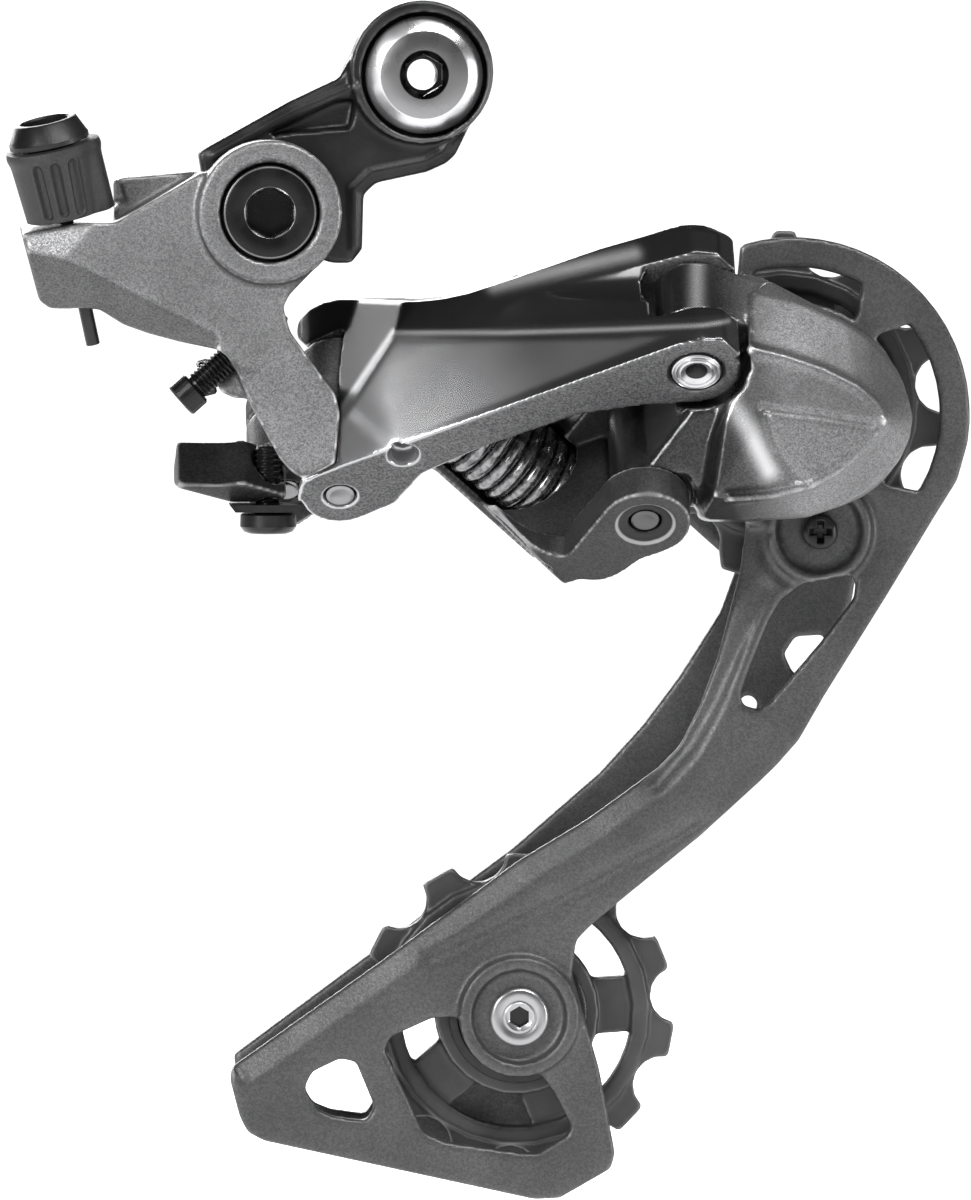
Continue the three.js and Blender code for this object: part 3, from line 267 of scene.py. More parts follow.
def vertex_data(mesh):
    """The mesh's points in millimetres of the frame, and its normals."""
    points = np.empty(len(mesh.vertices) * 3, np.float32)
    mesh.vertices.foreach_get("co", points)
    normals = np.empty(len(mesh.vertices) * 3, np.float32)
    mesh.vertex_normals.foreach_get("vector", normals)
    return points.reshape(-1, 3).astype(float) / MM, normals.reshape(-1, 3).astype(float)


def remember(mesh, name, values):
    """Keeps one number for each vertex, for the materials to read."""
    attribute = mesh.attributes.get(name) or mesh.attributes.new(name, "FLOAT", "POINT")
    attribute.data.foreach_set("value", values.astype(np.float32))


def survey(mesh, rounds=3):
    """Remembers how strongly each vertex's surroundings bulge, and which way they face."""
    points, normals = vertex_data(mesh)
    ends = np.empty(len(mesh.edges) * 2, np.int32)
    mesh.edges.foreach_get("vertices", ends)
    a, b = ends.reshape(-1, 2).T
    count = len(points)
    neighbours = np.bincount(a, minlength=count) + np.bincount(b, minlength=count)
    apart = points[a] - points[b]
    squared = np.maximum((apart ** 2).sum(1), 1e-6)
    bulge = np.bincount(a, (normals[a] * apart).sum(1) / squared, count)
    bulge -= np.bincount(b, (normals[b] * apart).sum(1) / squared, count)
    bulge /= np.maximum(neighbours, 1)
    kept = {"bulge": bulge}
    kept.update(zip(FACING_NAMES, normals.T))
    for name, values in kept.items():
        for _ in range(rounds):
            around = np.bincount(a, values[b], count) + np.bincount(b, values[a], count)
            mean = around / np.maximum(neighbours, 1)
            values = (1 - SMOOTHING) * values + SMOOTHING * mean
        remember(mesh, name, values)


def refined(node, voxel=0.4, rounds=8):
    """A finer copy of a CAD node with softened edges, as forged and cast parts have."""
    copy = bpy.data.objects.new("copy", NODES[node].data.copy())
    bpy.context.scene.collection.objects.link(copy)
    remesh = copy.modifiers.new("remesh", "REMESH")
    remesh.mode = "VOXEL"
    remesh.voxel_size = voxel * MM
    soften = copy.modifiers.new("soften", "SMOOTH")
    soften.factor = 0.5
    soften.iterations = rounds
    evaluated = copy.evaluated_get(bpy.context.evaluated_depsgraph_get())
    mesh = bpy.data.meshes.new_from_object(evaluated)
    bpy.data.objects.remove(copy)
    mesh.materials.clear()
    mesh.polygons.foreach_set("use_smooth", [True] * len(mesh.polygons))
    mesh.name = f"{node}_body"
    survey(mesh)
    return new_object(mesh.name, mesh)


def sculpt(obj, shift):
    """Moves obj's vertices by shift(points, normals), all in millimetres of the frame."""
    mesh = obj.data
    points, normals = vertex_data(mesh)
    points += shift(points, normals)
    mesh.vertices.foreach_set("co", (points * MM).astype(np.float32).ravel())
    mesh.update()
    survey(mesh)
    return obj


def distance_to_line(points, line):
    """Distance of each point, seen along Y, from a line of (x, z) corners."""
    flat = points[:, [0, 2]]
    nearest = np.full(len(flat), np.inf)
    for start, end in zip(line, line[1:]):
        start = np.array(start, float)
        along = np.array(end, float) - start
        t = np.clip((flat - start) @ along / (along @ along), 0, 1)
        nearest = np.minimum(nearest, np.linalg.norm(flat - start - t[:, None] * along, axis=1))
    return nearest


def swell(distance, width):
    """One on the line, falling away smoothly to nought about twice the width from it."""
    return np.exp(-((distance / width) ** 2))


# ---- Materials -------------------------------------------------------------------------------
class Surface:
    """One procedural material. Its methods add nodes and return their output sockets."""

    def __init__(self, name):
        self.material = bpy.data.materials.new(name)
        self.material.use_nodes = True
        self.tree = self.material.node_tree
        self.tree.nodes.clear()
        coords = self.tree.nodes.new("ShaderNodeTexCoord")
        scaled = self.tree.nodes.new("ShaderNodeVectorMath")
        scaled.operation = "SCALE"
        scaled.inputs["Scale"].default_value = 1 / MM
        self.tree.links.new(coords.outputs["Object"], scaled.inputs[0])
        self.position = scaled.outputs[0]

    def feed(self, socket, value):
        if isinstance(value, bpy.types.NodeSocket):
            self.tree.links.new(value, socket)
        elif isinstance(value, (int, float)) and socket.type == "RGBA":
            socket.default_value = (value, value, value, 1)
        else:
            socket.default_value = value

    def math(self, operation, a, b=0.0):
        node = self.tree.nodes.new("ShaderNodeMath")
        node.operation = operation
        self.feed(node.inputs[0], a)
        self.feed(node.inputs[1], b)
        return node.outputs[0]

    def step(self, value, low, high, to_low=0.0, to_high=1.0):
        """Goes smoothly from to_low, where value is low, to to_high, where it is high."""
        node = self.tree.nodes.new("ShaderNodeMapRange")
        node.interpolation_type = "SMOOTHSTEP"
        for socket, number in zip(node.inputs, (value, low, high, to_low, to_high)):
            self.feed(socket, number)
        return node.outputs[0]

    def noise(self, grain, detail=3.0, stretch=(1, 1, 1)):
        """Noise whose blotches are about grain millimetres wide."""
        scaled = self.tree.nodes.new("ShaderNodeVectorMath")
        scaled.operation = "MULTIPLY"
        self.feed(scaled.inputs[0], self.position)
        self.feed(scaled.inputs[1], stretch)
        node = self.tree.nodes.new("ShaderNodeTexNoise")
        node.inputs["Scale"].default_value = 1 / grain
        node.inputs["Detail"].default_value = detail
        self.feed(node.inputs["Vector"], scaled.outputs[0])
        return node.outputs[0]

    def flakes(self, size):
        """A random brightness for each small cell, about size millimetres wide."""
        node = self.tree.nodes.new("ShaderNodeTexVoronoi")
        node.inputs["Scale"].default_value = 1 / size
        self.feed(node.inputs["Vector"], self.position)
        split = self.tree.nodes.new("ShaderNodeSeparateColor")
        self.feed(split.inputs[0], node.outputs["Color"])
        return split.outputs[0]

    def along(self, point, direction):
        """Distance in millimetres from a point of the frame, measured along a direction."""
        offset = self.tree.nodes.new("ShaderNodeVectorMath")
        offset.operation = "SUBTRACT"
        self.feed(offset.inputs[0], self.position)
        self.feed(offset.inputs[1], Vector(point) / MM)
        node = self.tree.nodes.new("ShaderNodeVectorMath")
        node.operation = "DOT_PRODUCT"
        self.feed(node.inputs[0], offset.outputs[0])
        self.feed(node.inputs[1], Vector(direction).normalized())
        return node.outputs["Value"]

    def radius_about(self, point, axis):
        """Distance in millimetres from the axis through a point of the frame."""
        matrix = place(Vector(point), axis, (0.3, 0.2, 1))
        across = self.along(point, matrix.col[0].xyz)
        upward = self.along(point, matrix.col[1].xyz)
        squares = self.math("ADD", self.math("MULTIPLY", across, across),
                            self.math("MULTIPLY", upward, upward))
        return self.math("SQRT", squares)

    def camera_ray(self):
        return self.tree.nodes.new("ShaderNodeLightPath").outputs["Is Camera Ray"]

    def remembered(self, name):
        """A number kept for each vertex; nought on meshes that don't have it."""
        node = self.tree.nodes.new("ShaderNodeAttribute")
        node.attribute_name = name
        return node.outputs["Fac"]

    def edges(self, low=0.25, high=0.6):
        """One on outer edges, nought elsewhere; the finishes paint these lighter, as wear and as
        painted highlight.
        """
        return self.step(self.remembered("bulge"), low, high)

    def broadly_facing(self, direction):
        """How squarely a refined mesh's surroundings face a direction, from -1 to 1.

        It is measured at rest, so it stays the same whatever the pose.
        """
        direction = Vector(direction).normalized()
        total = 0.0
        for name, share in zip(FACING_NAMES, direction):
            term = self.math("MULTIPLY", self.remembered(name), share)
            total = self.math("ADD", total, term)
        return total

    def blend(self, factor, a, b):
        node = self.tree.nodes.new("ShaderNodeMix")
        node.data_type = "FLOAT"
        self.feed(node.inputs[0], factor)
        self.feed(node.inputs[2], a)
        self.feed(node.inputs[3], b)
        return node.outputs[0]

    def done(self, grey, roughness, metallic=0.0, bump=None, depth=0.02, coat=0.0, tint=None,
             coat_roughness=0.1, specular=0.5, glow=0.0):
        """The finished material. Bump is a height from 0 to 1, depth its size in millimetres."""
        shader = self.tree.nodes.new("ShaderNodeBsdfPrincipled")
        colour = self.tree.nodes.new("ShaderNodeCombineColor")
        for i, share in enumerate(tint or (1.0, 1.0, 1.015)):
            self.feed(colour.inputs[i], self.math("MULTIPLY", grey, share))
        self.feed(shader.inputs["Base Color"], colour.outputs[0])
        self.feed(shader.inputs["Roughness"], roughness)
        self.feed(shader.inputs["Metallic"], metallic)
        self.feed(shader.inputs["Coat Weight"], coat)
        self.feed(shader.inputs["Coat Roughness"], coat_roughness)
        self.feed(shader.inputs["Specular IOR Level"], specular)
        self.feed(shader.inputs["Emission Color"], 1.0)
        self.feed(shader.inputs["Emission Strength"], glow)
        if bump is not None:
            node = self.tree.nodes.new("ShaderNodeBump")
            node.inputs["Distance"].default_value = depth * MM
            self.feed(node.inputs["Height"], bump)
            self.feed(shader.inputs["Normal"], node.outputs[0])
        output = self.tree.nodes.new("ShaderNodeOutputMaterial")
        self.feed(output.inputs["Surface"], shader.outputs[0])
        return self.material


LACQUER_DEPTH = 0.035  # millimetres, from the lacquer's lowest to its highest grain


def flake_lacquer(s):
    """The grey, roughness and height of lacquer full of flake over a sandblasted casting."""
    flake = s.flakes(0.17)
    grain = s.noise(0.3, 4)
    patches = s.noise(9, 2)
    grey = s.blend(flake, 0.11, 0.26)
    grey = s.math("MULTIPLY", grey, s.step(patches, 0.3, 0.7, 0.9, 1.1))
    roughness = s.step(flake, 0, 1, 0.46, 0.34)
    height = s.math("ADD", s.math("MULTIPLY", grain, 0.7), s.math("MULTIPLY", flake, 0.3))
    return grey, roughness, height


def knuckle_paint():
    """Mid grey flake lacquer, with painted shade on the undersides and lighter outer edges, as wear
    and painted highlight.
    """
    s = Surface("knuckle_paint")
    grey, roughness, height = flake_lacquer(s)
    underside = s.broadly_facing((0, 0, -1))
    # painted shade: surfaces facing down are darkened to as little as half
    grey = s.math("MULTIPLY", grey, s.step(underside, 0.1, 0.45, 1.0, 0.5))
    # outer edges painted lighter, as wear and as painted highlight
    grey = s.blend(s.edges(), grey, 0.6)
    return s.done(grey, roughness, 0.6, height, LACQUER_DEPTH)


def link_gloss():
    """Dark lacquer over flake: a polished upper side and a sandblasted lower band.

    The polished side carries painted light and shade: its main facet is painted lighter at the
    rear and darker towards the front, and a strip above it and the rear side are painted dark
    as shade. All three meet where the link's two ridges do.
    """
    s = Surface("link_gloss")
    flake = s.flakes(0.2)
    band = s.step(s.broadly_facing(-PINS_IN), 0.82, 0.97)
    smears = s.noise(14, 2)
    x, z = LINK_RIDGES[0][0]
    meeting = Vector((x, 0, z)) * MM
    # painted light: the main facet is painted lighter at its rear end and darker towards the front
    polished = s.step(s.along(REAR_PIN, (1, 0, 0.6)), 4, 34, 0.5, 0.07)
    # painted shade: the strip above the upper ridge and the rear side beyond the left ridge are
    # painted near black
    above = s.step(s.along(meeting, (-0.07, 0, 1)), -0.3, 0.2)
    polished = s.blend(above, polished, 0.045)
    behind = s.step(s.along(meeting, (-0.8, 0, 0.6)), -0.3, 0.3)
    polished = s.blend(behind, polished, 0.03)
    grey = s.blend(band, polished, s.blend(flake, 0.05, 0.17))
    # outer edges painted lighter, as wear and as painted highlight
    grey = s.blend(s.edges(0.3, 0.9), grey, 0.5)
    # painted highlights along the scoop and the ridges
    grey = s.blend(s.remembered("shine"), grey, 0.9)
    roughness = s.blend(band, s.step(smears, 0.3, 0.7, 0.22, 0.27), 0.5)
    height = s.math("MULTIPLY", s.noise(0.3, 4), s.blend(band, 0.02, 1.0))
    return s.done(grey, roughness, s.blend(band, 0.75, 0.45), height, 0.035,
                  coat=s.blend(band, 0.3, 0.0))


def link_satin():
    """Near-black satin lacquer, with painted shade in a recess turned round the front pin and a
    lighter ring at its rim.
    """
    s = Surface("link_satin")
    flake = s.flakes(0.2)
    patches = s.noise(8, 2)
    grey = s.blend(flake, 0.02, 0.05)
    grey = s.math("MULTIPLY", grey, s.step(patches, 0.3, 0.7, 0.85, 1.15))
    # outer edges painted lighter, as wear and as painted highlight
    grey = s.blend(s.edges(), grey, 0.3)
    radius = s.radius_about(INNER_FRONT_PIN, PINS_IN)
    # painted shade inside the recess, within about 3.5 mm of the front pin's axis
    grey = s.blend(s.step(radius, 3.5, 3.8), 0.012, grey)
    rim = s.math("MULTIPLY", s.step(radius, 3.6, 3.8), s.step(radius, 4.0, 4.2, 1.0, 0.0))
    grey = s.blend(rim, grey, 0.3)
    return s.done(grey, s.step(patches, 0.3, 0.7, 0.36, 0.46), 0.35, s.noise(0.35, 4), 0.03)


def nose_paint():
    """The knuckle's lacquer, glossier towards the links and painted darker there as shade, with
    lighter outer edges and painted highlights on its barrel and cheek.
    """
    s = Surface("nose_paint")
    grey, roughness, height = flake_lacquer(s)
    nose = s.step(s.along(joint_point("cage_pivot"), (1, 0, 0.15)), -14, -4)
    # painted shade: towards the links the lacquer is darkened to about a third
    grey = s.blend(nose, s.math("MULTIPLY", grey, 0.35), grey)
    # outer edges painted lighter, as wear and as painted highlight
    grey = s.blend(s.edges(), grey, 0.7)
    # painted highlights along lines on the barrel and the cheek, kept as shine on the P knuckle
    grey = s.blend(s.remembered("shine"), grey, 0.8)
    roughness = s.blend(nose, 0.24, roughness)
    metallic = s.blend(nose, 0.85, 0.6)
    height = s.math("MULTIPLY", height, s.blend(nose, 0.15, 1.0))
    return s.done(grey, roughness, metallic, height, LACQUER_DEPTH)


def black_anodised():
    """Satin black anodised forging with a faint grain."""
    s = Surface("black_anodised")
    grain = s.noise(0.35, 4)
    patches = s.noise(6, 3)
    grey = s.step(patches, 0.3, 0.7, 0.012, 0.022)
    # outer edges painted lighter, as wear and as painted highlight
    grey = s.blend(s.edges(), grey, 0.09)
    return s.done(grey, s.step(patches, 0.3, 0.7, 0.3, 0.42), 0.4, grain, 0.03)


def cage_grey():
    """Dark grey fine-textured coating, satin."""
    s = Surface("cage_grey")
    flake = s.flakes(0.22)
    grain = s.noise(0.4, 4)
    patches = s.noise(12, 3)
    grey = s.blend(flake, 0.06, 0.1)
    grey = s.math("MULTIPLY", grey, s.step(patches, 0.3, 0.7, 0.85, 1.15))
    # outer edges painted lighter, as wear and as painted highlight
    grey = s.blend(s.edges(), grey, 0.2)
    return s.done(grey, s.step(grain, 0.3, 0.7, 0.36, 0.48), 0.5, grain, 0.035)


def turned_steel(name, point, axis, grey=0.6, hollow=1.0, core=(0, 0.1)):
    """Bright steel with the fine rings a lathe leaves, and painted shade within 3.3 mm of the axis
    beyond hollow millimetres, as inside a bore.

    Inside the core's radius the face is as dark as the core's grey.
    """
    s = Surface(name)
    radius = s.radius_about(point, axis)
    rings = s.math("SINE", s.math("MULTIPLY", radius, 38.0))
    stain = s.noise(5, 2)
    tone = s.step(stain, 0.2, 0.8, grey * 0.92, grey * 1.04)
    core_radius, core_grey = core
    tone = s.blend(s.step(radius, core_radius - 0.05, core_radius + 0.05), core_grey, tone)
    # painted shade inside the bore: past hollow millimetres along the axis and within about 3.3 mm
    # of it
    deep = s.step(s.along(point, axis), hollow, hollow + 0.4)
    inside = s.math("MULTIPLY", deep, s.step(radius, 3.2, 3.4, 1.0, 0.0))
    tone = s.blend(inside, tone, 0.05)
    height = s.math("ADD", s.math("MULTIPLY", rings, 0.5), s.noise(0.3, 2))
    return s.done(tone, s.step(stain, 0.3, 0.7, 0.26, 0.34), 1.0, height, 0.002)


def bright_steel():
    """Plain bright steel, slightly stained."""
    s = Surface("bright_steel")
    stain = s.noise(1.2, 4)
    tone = s.step(stain, 0.25, 0.75, 0.45, 0.6)
    return s.done(tone, s.step(stain, 0.3, 0.7, 0.22, 0.36), 1.0, s.noise(0.25, 3), 0.008)


def dark_steel():
    """Blackened steel with an uneven film of oil."""
    s = Surface("dark_steel")
    film = s.noise(2.5, 4)
    tone = s.step(film, 0.3, 0.7, 0.014, 0.026)
    # outer edges painted lighter, as wear and as painted highlight
    tone = s.blend(s.edges(), tone, 0.14)
    return s.done(tone, s.step(film, 0.3, 0.7, 0.26, 0.36), 0.5, s.noise(0.25, 3), 0.008)


def axle_black(point, axis):
    """Oiled black steel face with a bright chamfer round its socket and at its rim."""
    s = Surface("axle_black")
    film = s.noise(3, 3)
    radius = s.radius_about(point, axis)
    face = s.step(s.along(point, axis), 0.9, 1.1, 1.0, 0.0)
    chamfer = s.math("MULTIPLY", s.step(radius, 2.8, 2.9), s.step(radius, 3.4, 3.5, 1.0, 0.0))
    rim = s.math("MULTIPLY", s.step(radius, 5.95, 6.05), s.step(radius, 6.15, 6.25, 1.0, 0.0))
    bright = s.math("MULTIPLY", face, s.math("ADD", chamfer, s.math("MULTIPLY", rim, 0.25)))
    tone = s.blend(bright, s.step(film, 0.3, 0.7, 0.006, 0.012), 0.6)
    rings = s.math("SINE", s.math("MULTIPLY", radius, 30.0))
    return s.done(tone, s.step(film, 0.3, 0.7, 0.22, 0.3), s.blend(bright, 0.3, 1.0), rings, 0.002,
                  specular=0.35)


def spring_steel():
    """Drawn spring wire, dark and oily, with runs of thicker oil."""
    s = Surface("spring_steel")
    runs = s.noise(0.9, 4)
    tone = s.step(runs, 0.3, 0.7, 0.1, 0.32)
    return s.done(tone, s.step(runs, 0.3, 0.7, 0.14, 0.3), 0.9, runs, 0.03, coat=0.5)


def pulley_resin():
    """Moulded dark resin with a satin skin and lighter outer edges: chain rub on the teeth and
    painted highlight.
    """
    s = Surface("pulley_resin")
    grain = s.noise(0.5, 4)
    flow = s.noise(7, 3)
    tone = s.step(flow, 0.3, 0.7, 0.03, 0.05)
    # outer edges painted lighter, as chain rub and as painted highlight
    tone = s.blend(s.edges(), tone, 0.11)
    return s.done(tone, s.step(grain, 0.3, 0.7, 0.34, 0.46), 0.0, grain, 0.025)


def knob_resin():
    """Moulded matte resin with a spark-eroded texture."""
    s = Surface("knob_resin")
    grain = s.noise(0.22, 5)
    tone = s.step(grain, 0.3, 0.7, 0.012, 0.03)
    return s.done(tone, s.step(grain, 0.3, 0.7, 0.42, 0.56), 0.0, grain, 0.08)


def bronze():
    """Sintered bronze, porous and oiled."""
    s = Surface("bronze")
    pores = s.flakes(0.18)
    tone = s.step(pores, 0.0, 1.0, 0.2, 0.36)
    return s.done(tone, 0.4, 0.9, pores, 0.02, tint=(1.0, 0.7, 0.36))


def seal_rubber():
    """Matte black rubber with a dusty bloom."""
    s = Surface("seal_rubber")
    bloom = s.noise(0.8, 4)
    tone = s.step(bloom, 0.3, 0.7, 0.01, 0.024)
    return s.done(tone, 0.75, 0.0, s.noise(0.3, 3), 0.03)


FINISH = {
    maker.__name__: maker()
    for maker in (knuckle_paint, link_gloss, link_satin, nose_paint, black_anodised, cage_grey,
                  bright_steel, dark_steel, pulley_resin, knob_resin, bronze, seal_rubber)
}


def stands_for(obj, node, material=None):
    """Puts obj on the CAD node's body in the node's stead, in its slot's finish by default."""
    obj.data.materials.clear()
    obj.data.materials.append(material or FINISH[SLOT_OF[node]])
    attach(obj, BODY_OF[node])
    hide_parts(node)
    return obj


# ---- Bracket ---------------------------------------------------------------------------------
def mounting_bolt():
    node = "mounting_bolt"
    place_at = seat_along_y(node)
    thread_start, end = 3.4, 18.4
    start = place_at.translation
    rings = [
        (0, 3.35), (0, 5.95), (0.08, 6.1), (1.0, 7.85), (1.2, 8), (2.4, 8), (2.6, 7.85), (2.6, 4.9),
        *thread(thread_start, end - 0.8, 4.95, 1.0, 0.5),
        (end, 4.2), (end, 2.2), (6.9, 2.1), (6.9, hexagon(2.5)), (0.9, hexagon(2.5)),
        (0.45, 3.0),
    ]
    material = turned_steel("turned_bolt", start, INBOARD, 0.75, -0.3, core=(5.95, 0.3))
    stands_for(loft("mounting_bolt_turned", rings, place_at), node, material)


def b_axle_bolt():
    node = "b_axle_bolt"
    head, end = 3.6, 21.6
    rings = [
        (5.2, 0), (5.2, hexagon(2.9)), (0.75, hexagon(2.95)), (0.05, 3.45), (0, 3.55), (0, 5.9),
        (0.12, 6.2), (0.5, 6.4), (head, 6.4), (head, 3.7), (end - 0.5, 3.7), (end, 3.2), (end, 0),
    ]
    place_at = seat_along_y(node)
    material = axle_black(place_at.translation, INBOARD)
    stands_for(loft("b_axle_bolt_turned", rings, place_at), node, material)


def bracket_link():
    """A low bead follows both edges of the forging's waist."""
    bolt = centre("mounting_bolt") / MM
    upper = [(-9.2, -1.5), (-18.0, -5.2), (-28.6, -11.0)]
    lower = [(-9.6, -23.5), (-9.6, -15.6), (-7.2, -13.3), (0.2, -11.8), (2.6, -10.5), (5.6, -5.6)]

    def shift(points, normals):
        offset = points - np.array([bolt.x, 0, bolt.z])
        rise = 0.5 * swell(distance_to_line(offset, upper), 0.6)
        rise += 0.5 * swell(distance_to_line(offset, lower), 0.6)
        outboard = np.clip(-2 * normals[:, 1] - 0.6, 0, 1)
        return normals * (rise * outboard)[:, None]

    return sculpt(refined("bracket_link", 0.35, 8), shift)


def bracket():
    stands_for(bracket_link(), "bracket_link")
    mounting_bolt()
    b_axle_bolt()


# ---- Knuckle ---------------------------------------------------------------------------------
def adjuster():
    down = Vector(JOINTS["adjuster_turn"]["axis"])
    if down.z > 0:
        down.negate()
    top = joint_point("adjuster_turn")
    knob_angle = math.radians(-14)  # turns the knob's ribs towards the outboard side
    side = place(top, down) @ Vector((math.cos(knob_angle), math.sin(knob_angle), 0)) - top

    start, end = reach("adjuster_knob", top, down)
    length = end - start
    ribs = [math.radians(angle) for angle in (78, 102, 126, 258, 282, 306)]
    lobe = math.radians(18)

    def knob_radius(height):
        share = height / length

        def at(angle):
            off = (angle - lobe + math.pi) % (2 * math.pi) - math.pi
            radius = 6.0 - 0.75 * share + 0.25 * math.exp(-((height - 1) / 0.8) ** 2)
            radius += 1.6 * math.exp(-((off / 0.42) ** 4)) * (0.35 + 0.65 * share)
            for rib in ribs:
                near = (angle - rib + math.pi) % (2 * math.pi) - math.pi
                across = abs(near) * radius
                end_off = max(0, 2.3 - height, height - length + 1.3)
                away = math.hypot(across, end_off)
                radius += 0.22 * math.exp(-((away - 0.75) / 0.22) ** 2)
                radius -= 0.5 / (1 + math.exp((away - 0.55) / 0.07))
            return radius
        return at

    heights = [length * i / 60 for i in range(61)]
    rings = [(0, 4.0), (0, lambda a: knob_radius(0)(a) - 0.5)]
    rings += [(h, knob_radius(h)) for h in heights[1:-1]]
    rings += [(length, lambda a: knob_radius(length)(a) - 0.4), (length, 4.0)]
    knob = loft("adjuster_knob_moulded", rings, seat("adjuster_knob", top, down, side), 240,
                math.radians(50))
    stands_for(knob, "adjuster_knob")

    rings = [
        (0, 3.45), (0, 4.1), (0.12, 4.3), (2.3, 5.3), (2.5, 5.45), (3.1, 5.45), (3.1, 3.6),
        (13.4, 3.6), (13.4, 1.4), (5, 1.4), (4.8, 3.0), (0.3, 3.2),
    ]
    place_at = seat("adjuster_collar", top, down)
    stands_for(loft("adjuster_collar_turned", rings, place_at), "adjuster_collar")

    start, end = reach("cable_liner", top, down)
    length = end - start
    rings = [
        (0, 0.55), (0, 0.9), (0.1, 0.95), (length - 0.1, 0.95), (length, 0.88), (length, 0.55),
    ]
    stands_for(loft("cable_liner_tube", rings, seat("cable_liner", top, down), 32), "cable_liner")


def screw(joint, node, radius, head_radius, head_length, pitch, recess, ridge=0.12):
    """A threaded screw with a knurled head and a cross recess; ridge is the knurl's depth."""
    point = joint_point(joint)
    axis = Vector(JOINTS[joint]["axis"])
    start, end = reach(node, point, axis)
    length = end - start
    rings = [
        (head_length * 0.6, 0), (head_length * 0.6, cross(recess * 0.8, recess * 0.25)),
        (0, cross(recess, recess * 0.34)),
        (0, head_radius - 0.35), (0.12, head_radius - 0.15), (0.3, knurl(head_radius, 26, ridge)),
        (head_length - 0.3, knurl(head_radius, 26, ridge)), (head_length, head_radius - 0.3),
        (head_length, radius - 0.25),
        *thread(head_length + 0.4, length - 0.5, radius, pitch, pitch * 0.55),
        (length, radius - 0.7), (length, 0),
    ]
    stands_for(loft(f"{node}_cut", rings, seat(node, point, axis), 96), node)


def knuckle():
    stands_for(refined("b_knuckle", 0.35, 10), "b_knuckle")
    adjuster()
    screw("tension_screw_turn", "b_tension_screw", 1.95, 2.5, 2.9, 0.6, 1.7, ridge=0.03)
    screw("high_screw_turn", "high_limit_screw", 1.35, 2.4, 1.8, 0.6, 1.5)
    screw("low_screw_turn", "low_limit_screw", 1.35, 2.4, 1.8, 0.6, 1.5)


# ---- Links -----------------------------------------------------------------------------------
def link_pin(node, point, flared=False, grey=0.3):
    start, end = reach(node, point, PINS_IN)
    length = end - start
    if flared:
        head = [
            (0.5, 0), (0.42, 1.5), (0.3, 1.75), (0.1, 2.0), (0.0, 2.15), (0.12, 2.35), (0.3, 2.45),
            (0.12, 2.6), (0.02, 2.8), (0.2, 2.95), (0.22, 3.1), (0.1, 3.2), (0.25, 3.35),
            (0.9, 3.4), (0.95, 1.95),
        ]
    else:
        head = [(0.1, 0), (0.08, 1.2), (0, 1.45), (0.05, 1.7), (0.25, 1.92), (0.4, 1.95)]
    rings = [*head, (length - 0.4, 1.95), (length, 1.55), (length, 0)]
    place_at = seat(node, point, PINS_IN)
    core = (1.5, 0.04) if flared else (0, 0)
    tone = 0.6 if flared else grey
    material = turned_steel(f"{node}_steel", place_at.translation, PINS_IN, tone, core=core)
    stands_for(loft(f"{node}_turned", rings, place_at), node, material)


def return_spring():
    node = "return_spring"
    points = np.array([vertex.co for vertex in NODES[node].data.vertices], float)
    middle = points.mean(0)
    _, _, directions = np.linalg.svd(points - middle, full_matrices=False)
    axis = Vector(directions[0])
    if axis.z > 0:
        axis.negate()
    start, end = reach(node, Vector(middle), axis)
    wire_radius = 1.0
    matrix = place(Vector(middle) + axis * (start + wire_radius) * MM, axis)
    points = coil_points(matrix, 5.5, end - start - 2 * wire_radius, 9)
    stands_for(wire("return_spring_wire", points, wire_radius), node, spring_steel())


def clamp():
    down = Vector((0, 0, -1))
    node = "cable_clamp_bolt"
    start, end = reach(node, centre(node), down)
    length = end - start
    rings = [
        (0, 0), (0.3, 1.6), *thread(0.6, length - 2.9, 1.9, 0.8, 0.4),
        (length - 2.8, 3.6), (length - 2.6, 3.85), (length - 1.0, 3.9), (length - 0.3, 3.4),
        (length, 2.6), (length, hexagon(2.0)), (length - 1.6, hexagon(2.0)), (length - 1.6, 0),
    ]
    stands_for(loft("cable_clamp_bolt_turned", rings, seat(node, centre(node), down)), node)


def outer_link():
    """Lighter paint along the scoop and the ridges stands in for the sheen they have."""
    obj = refined("outer_link", 0.3, 14)
    points, normals = vertex_data(obj.data)
    streak = distance_to_line(points, SCOOP_SHINE)
    shine = 0.8 * swell(streak, 0.9)
    for line in LINK_RIDGES:
        shine = np.maximum(shine, 0.75 * swell(distance_to_line(points, line), 0.3))
    remember(obj.data, "shine", shine * np.clip(-2 * normals[:, 1], 0, 1))
    return obj


def links():
    stands_for(outer_link(), "outer_link")
    stands_for(refined("inner_link", 0.33, 8), "inner_link", FINISH["link_satin"])
    link_pin("outer_link_rear_pin", REAR_PIN)
    link_pin("outer_link_front_pin", FRONT_PIN, flared=True)
    link_pin("inner_link_rear_pin", INNER_REAR_PIN)
    link_pin("inner_link_front_pin", INNER_FRONT_PIN, grey=0.12)
    return_spring()
    clamp()


# ---- Carrier and cage ------------------------------------------------------------------------
def stop_pin():
    node = "stop_pin"
    start, end = reach(node, centre(node), INBOARD)
    length = end - start
    rings = [
        (1.5, 0), (1.4, cross(0.9, 0.35)), (0.05, cross(1.6, 0.5)), (0, 1.75), (0.12, 2.05),
        (0.45, 2.35), (0.7, 2.4), (3.3, 2.4), (3.3, 1.6), (length - 0.2, 1.6), (length, 1.4),
        (length, 0),
    ]
    stands_for(loft("stop_pin_turned", rings, seat_along_y(node), 96), node)


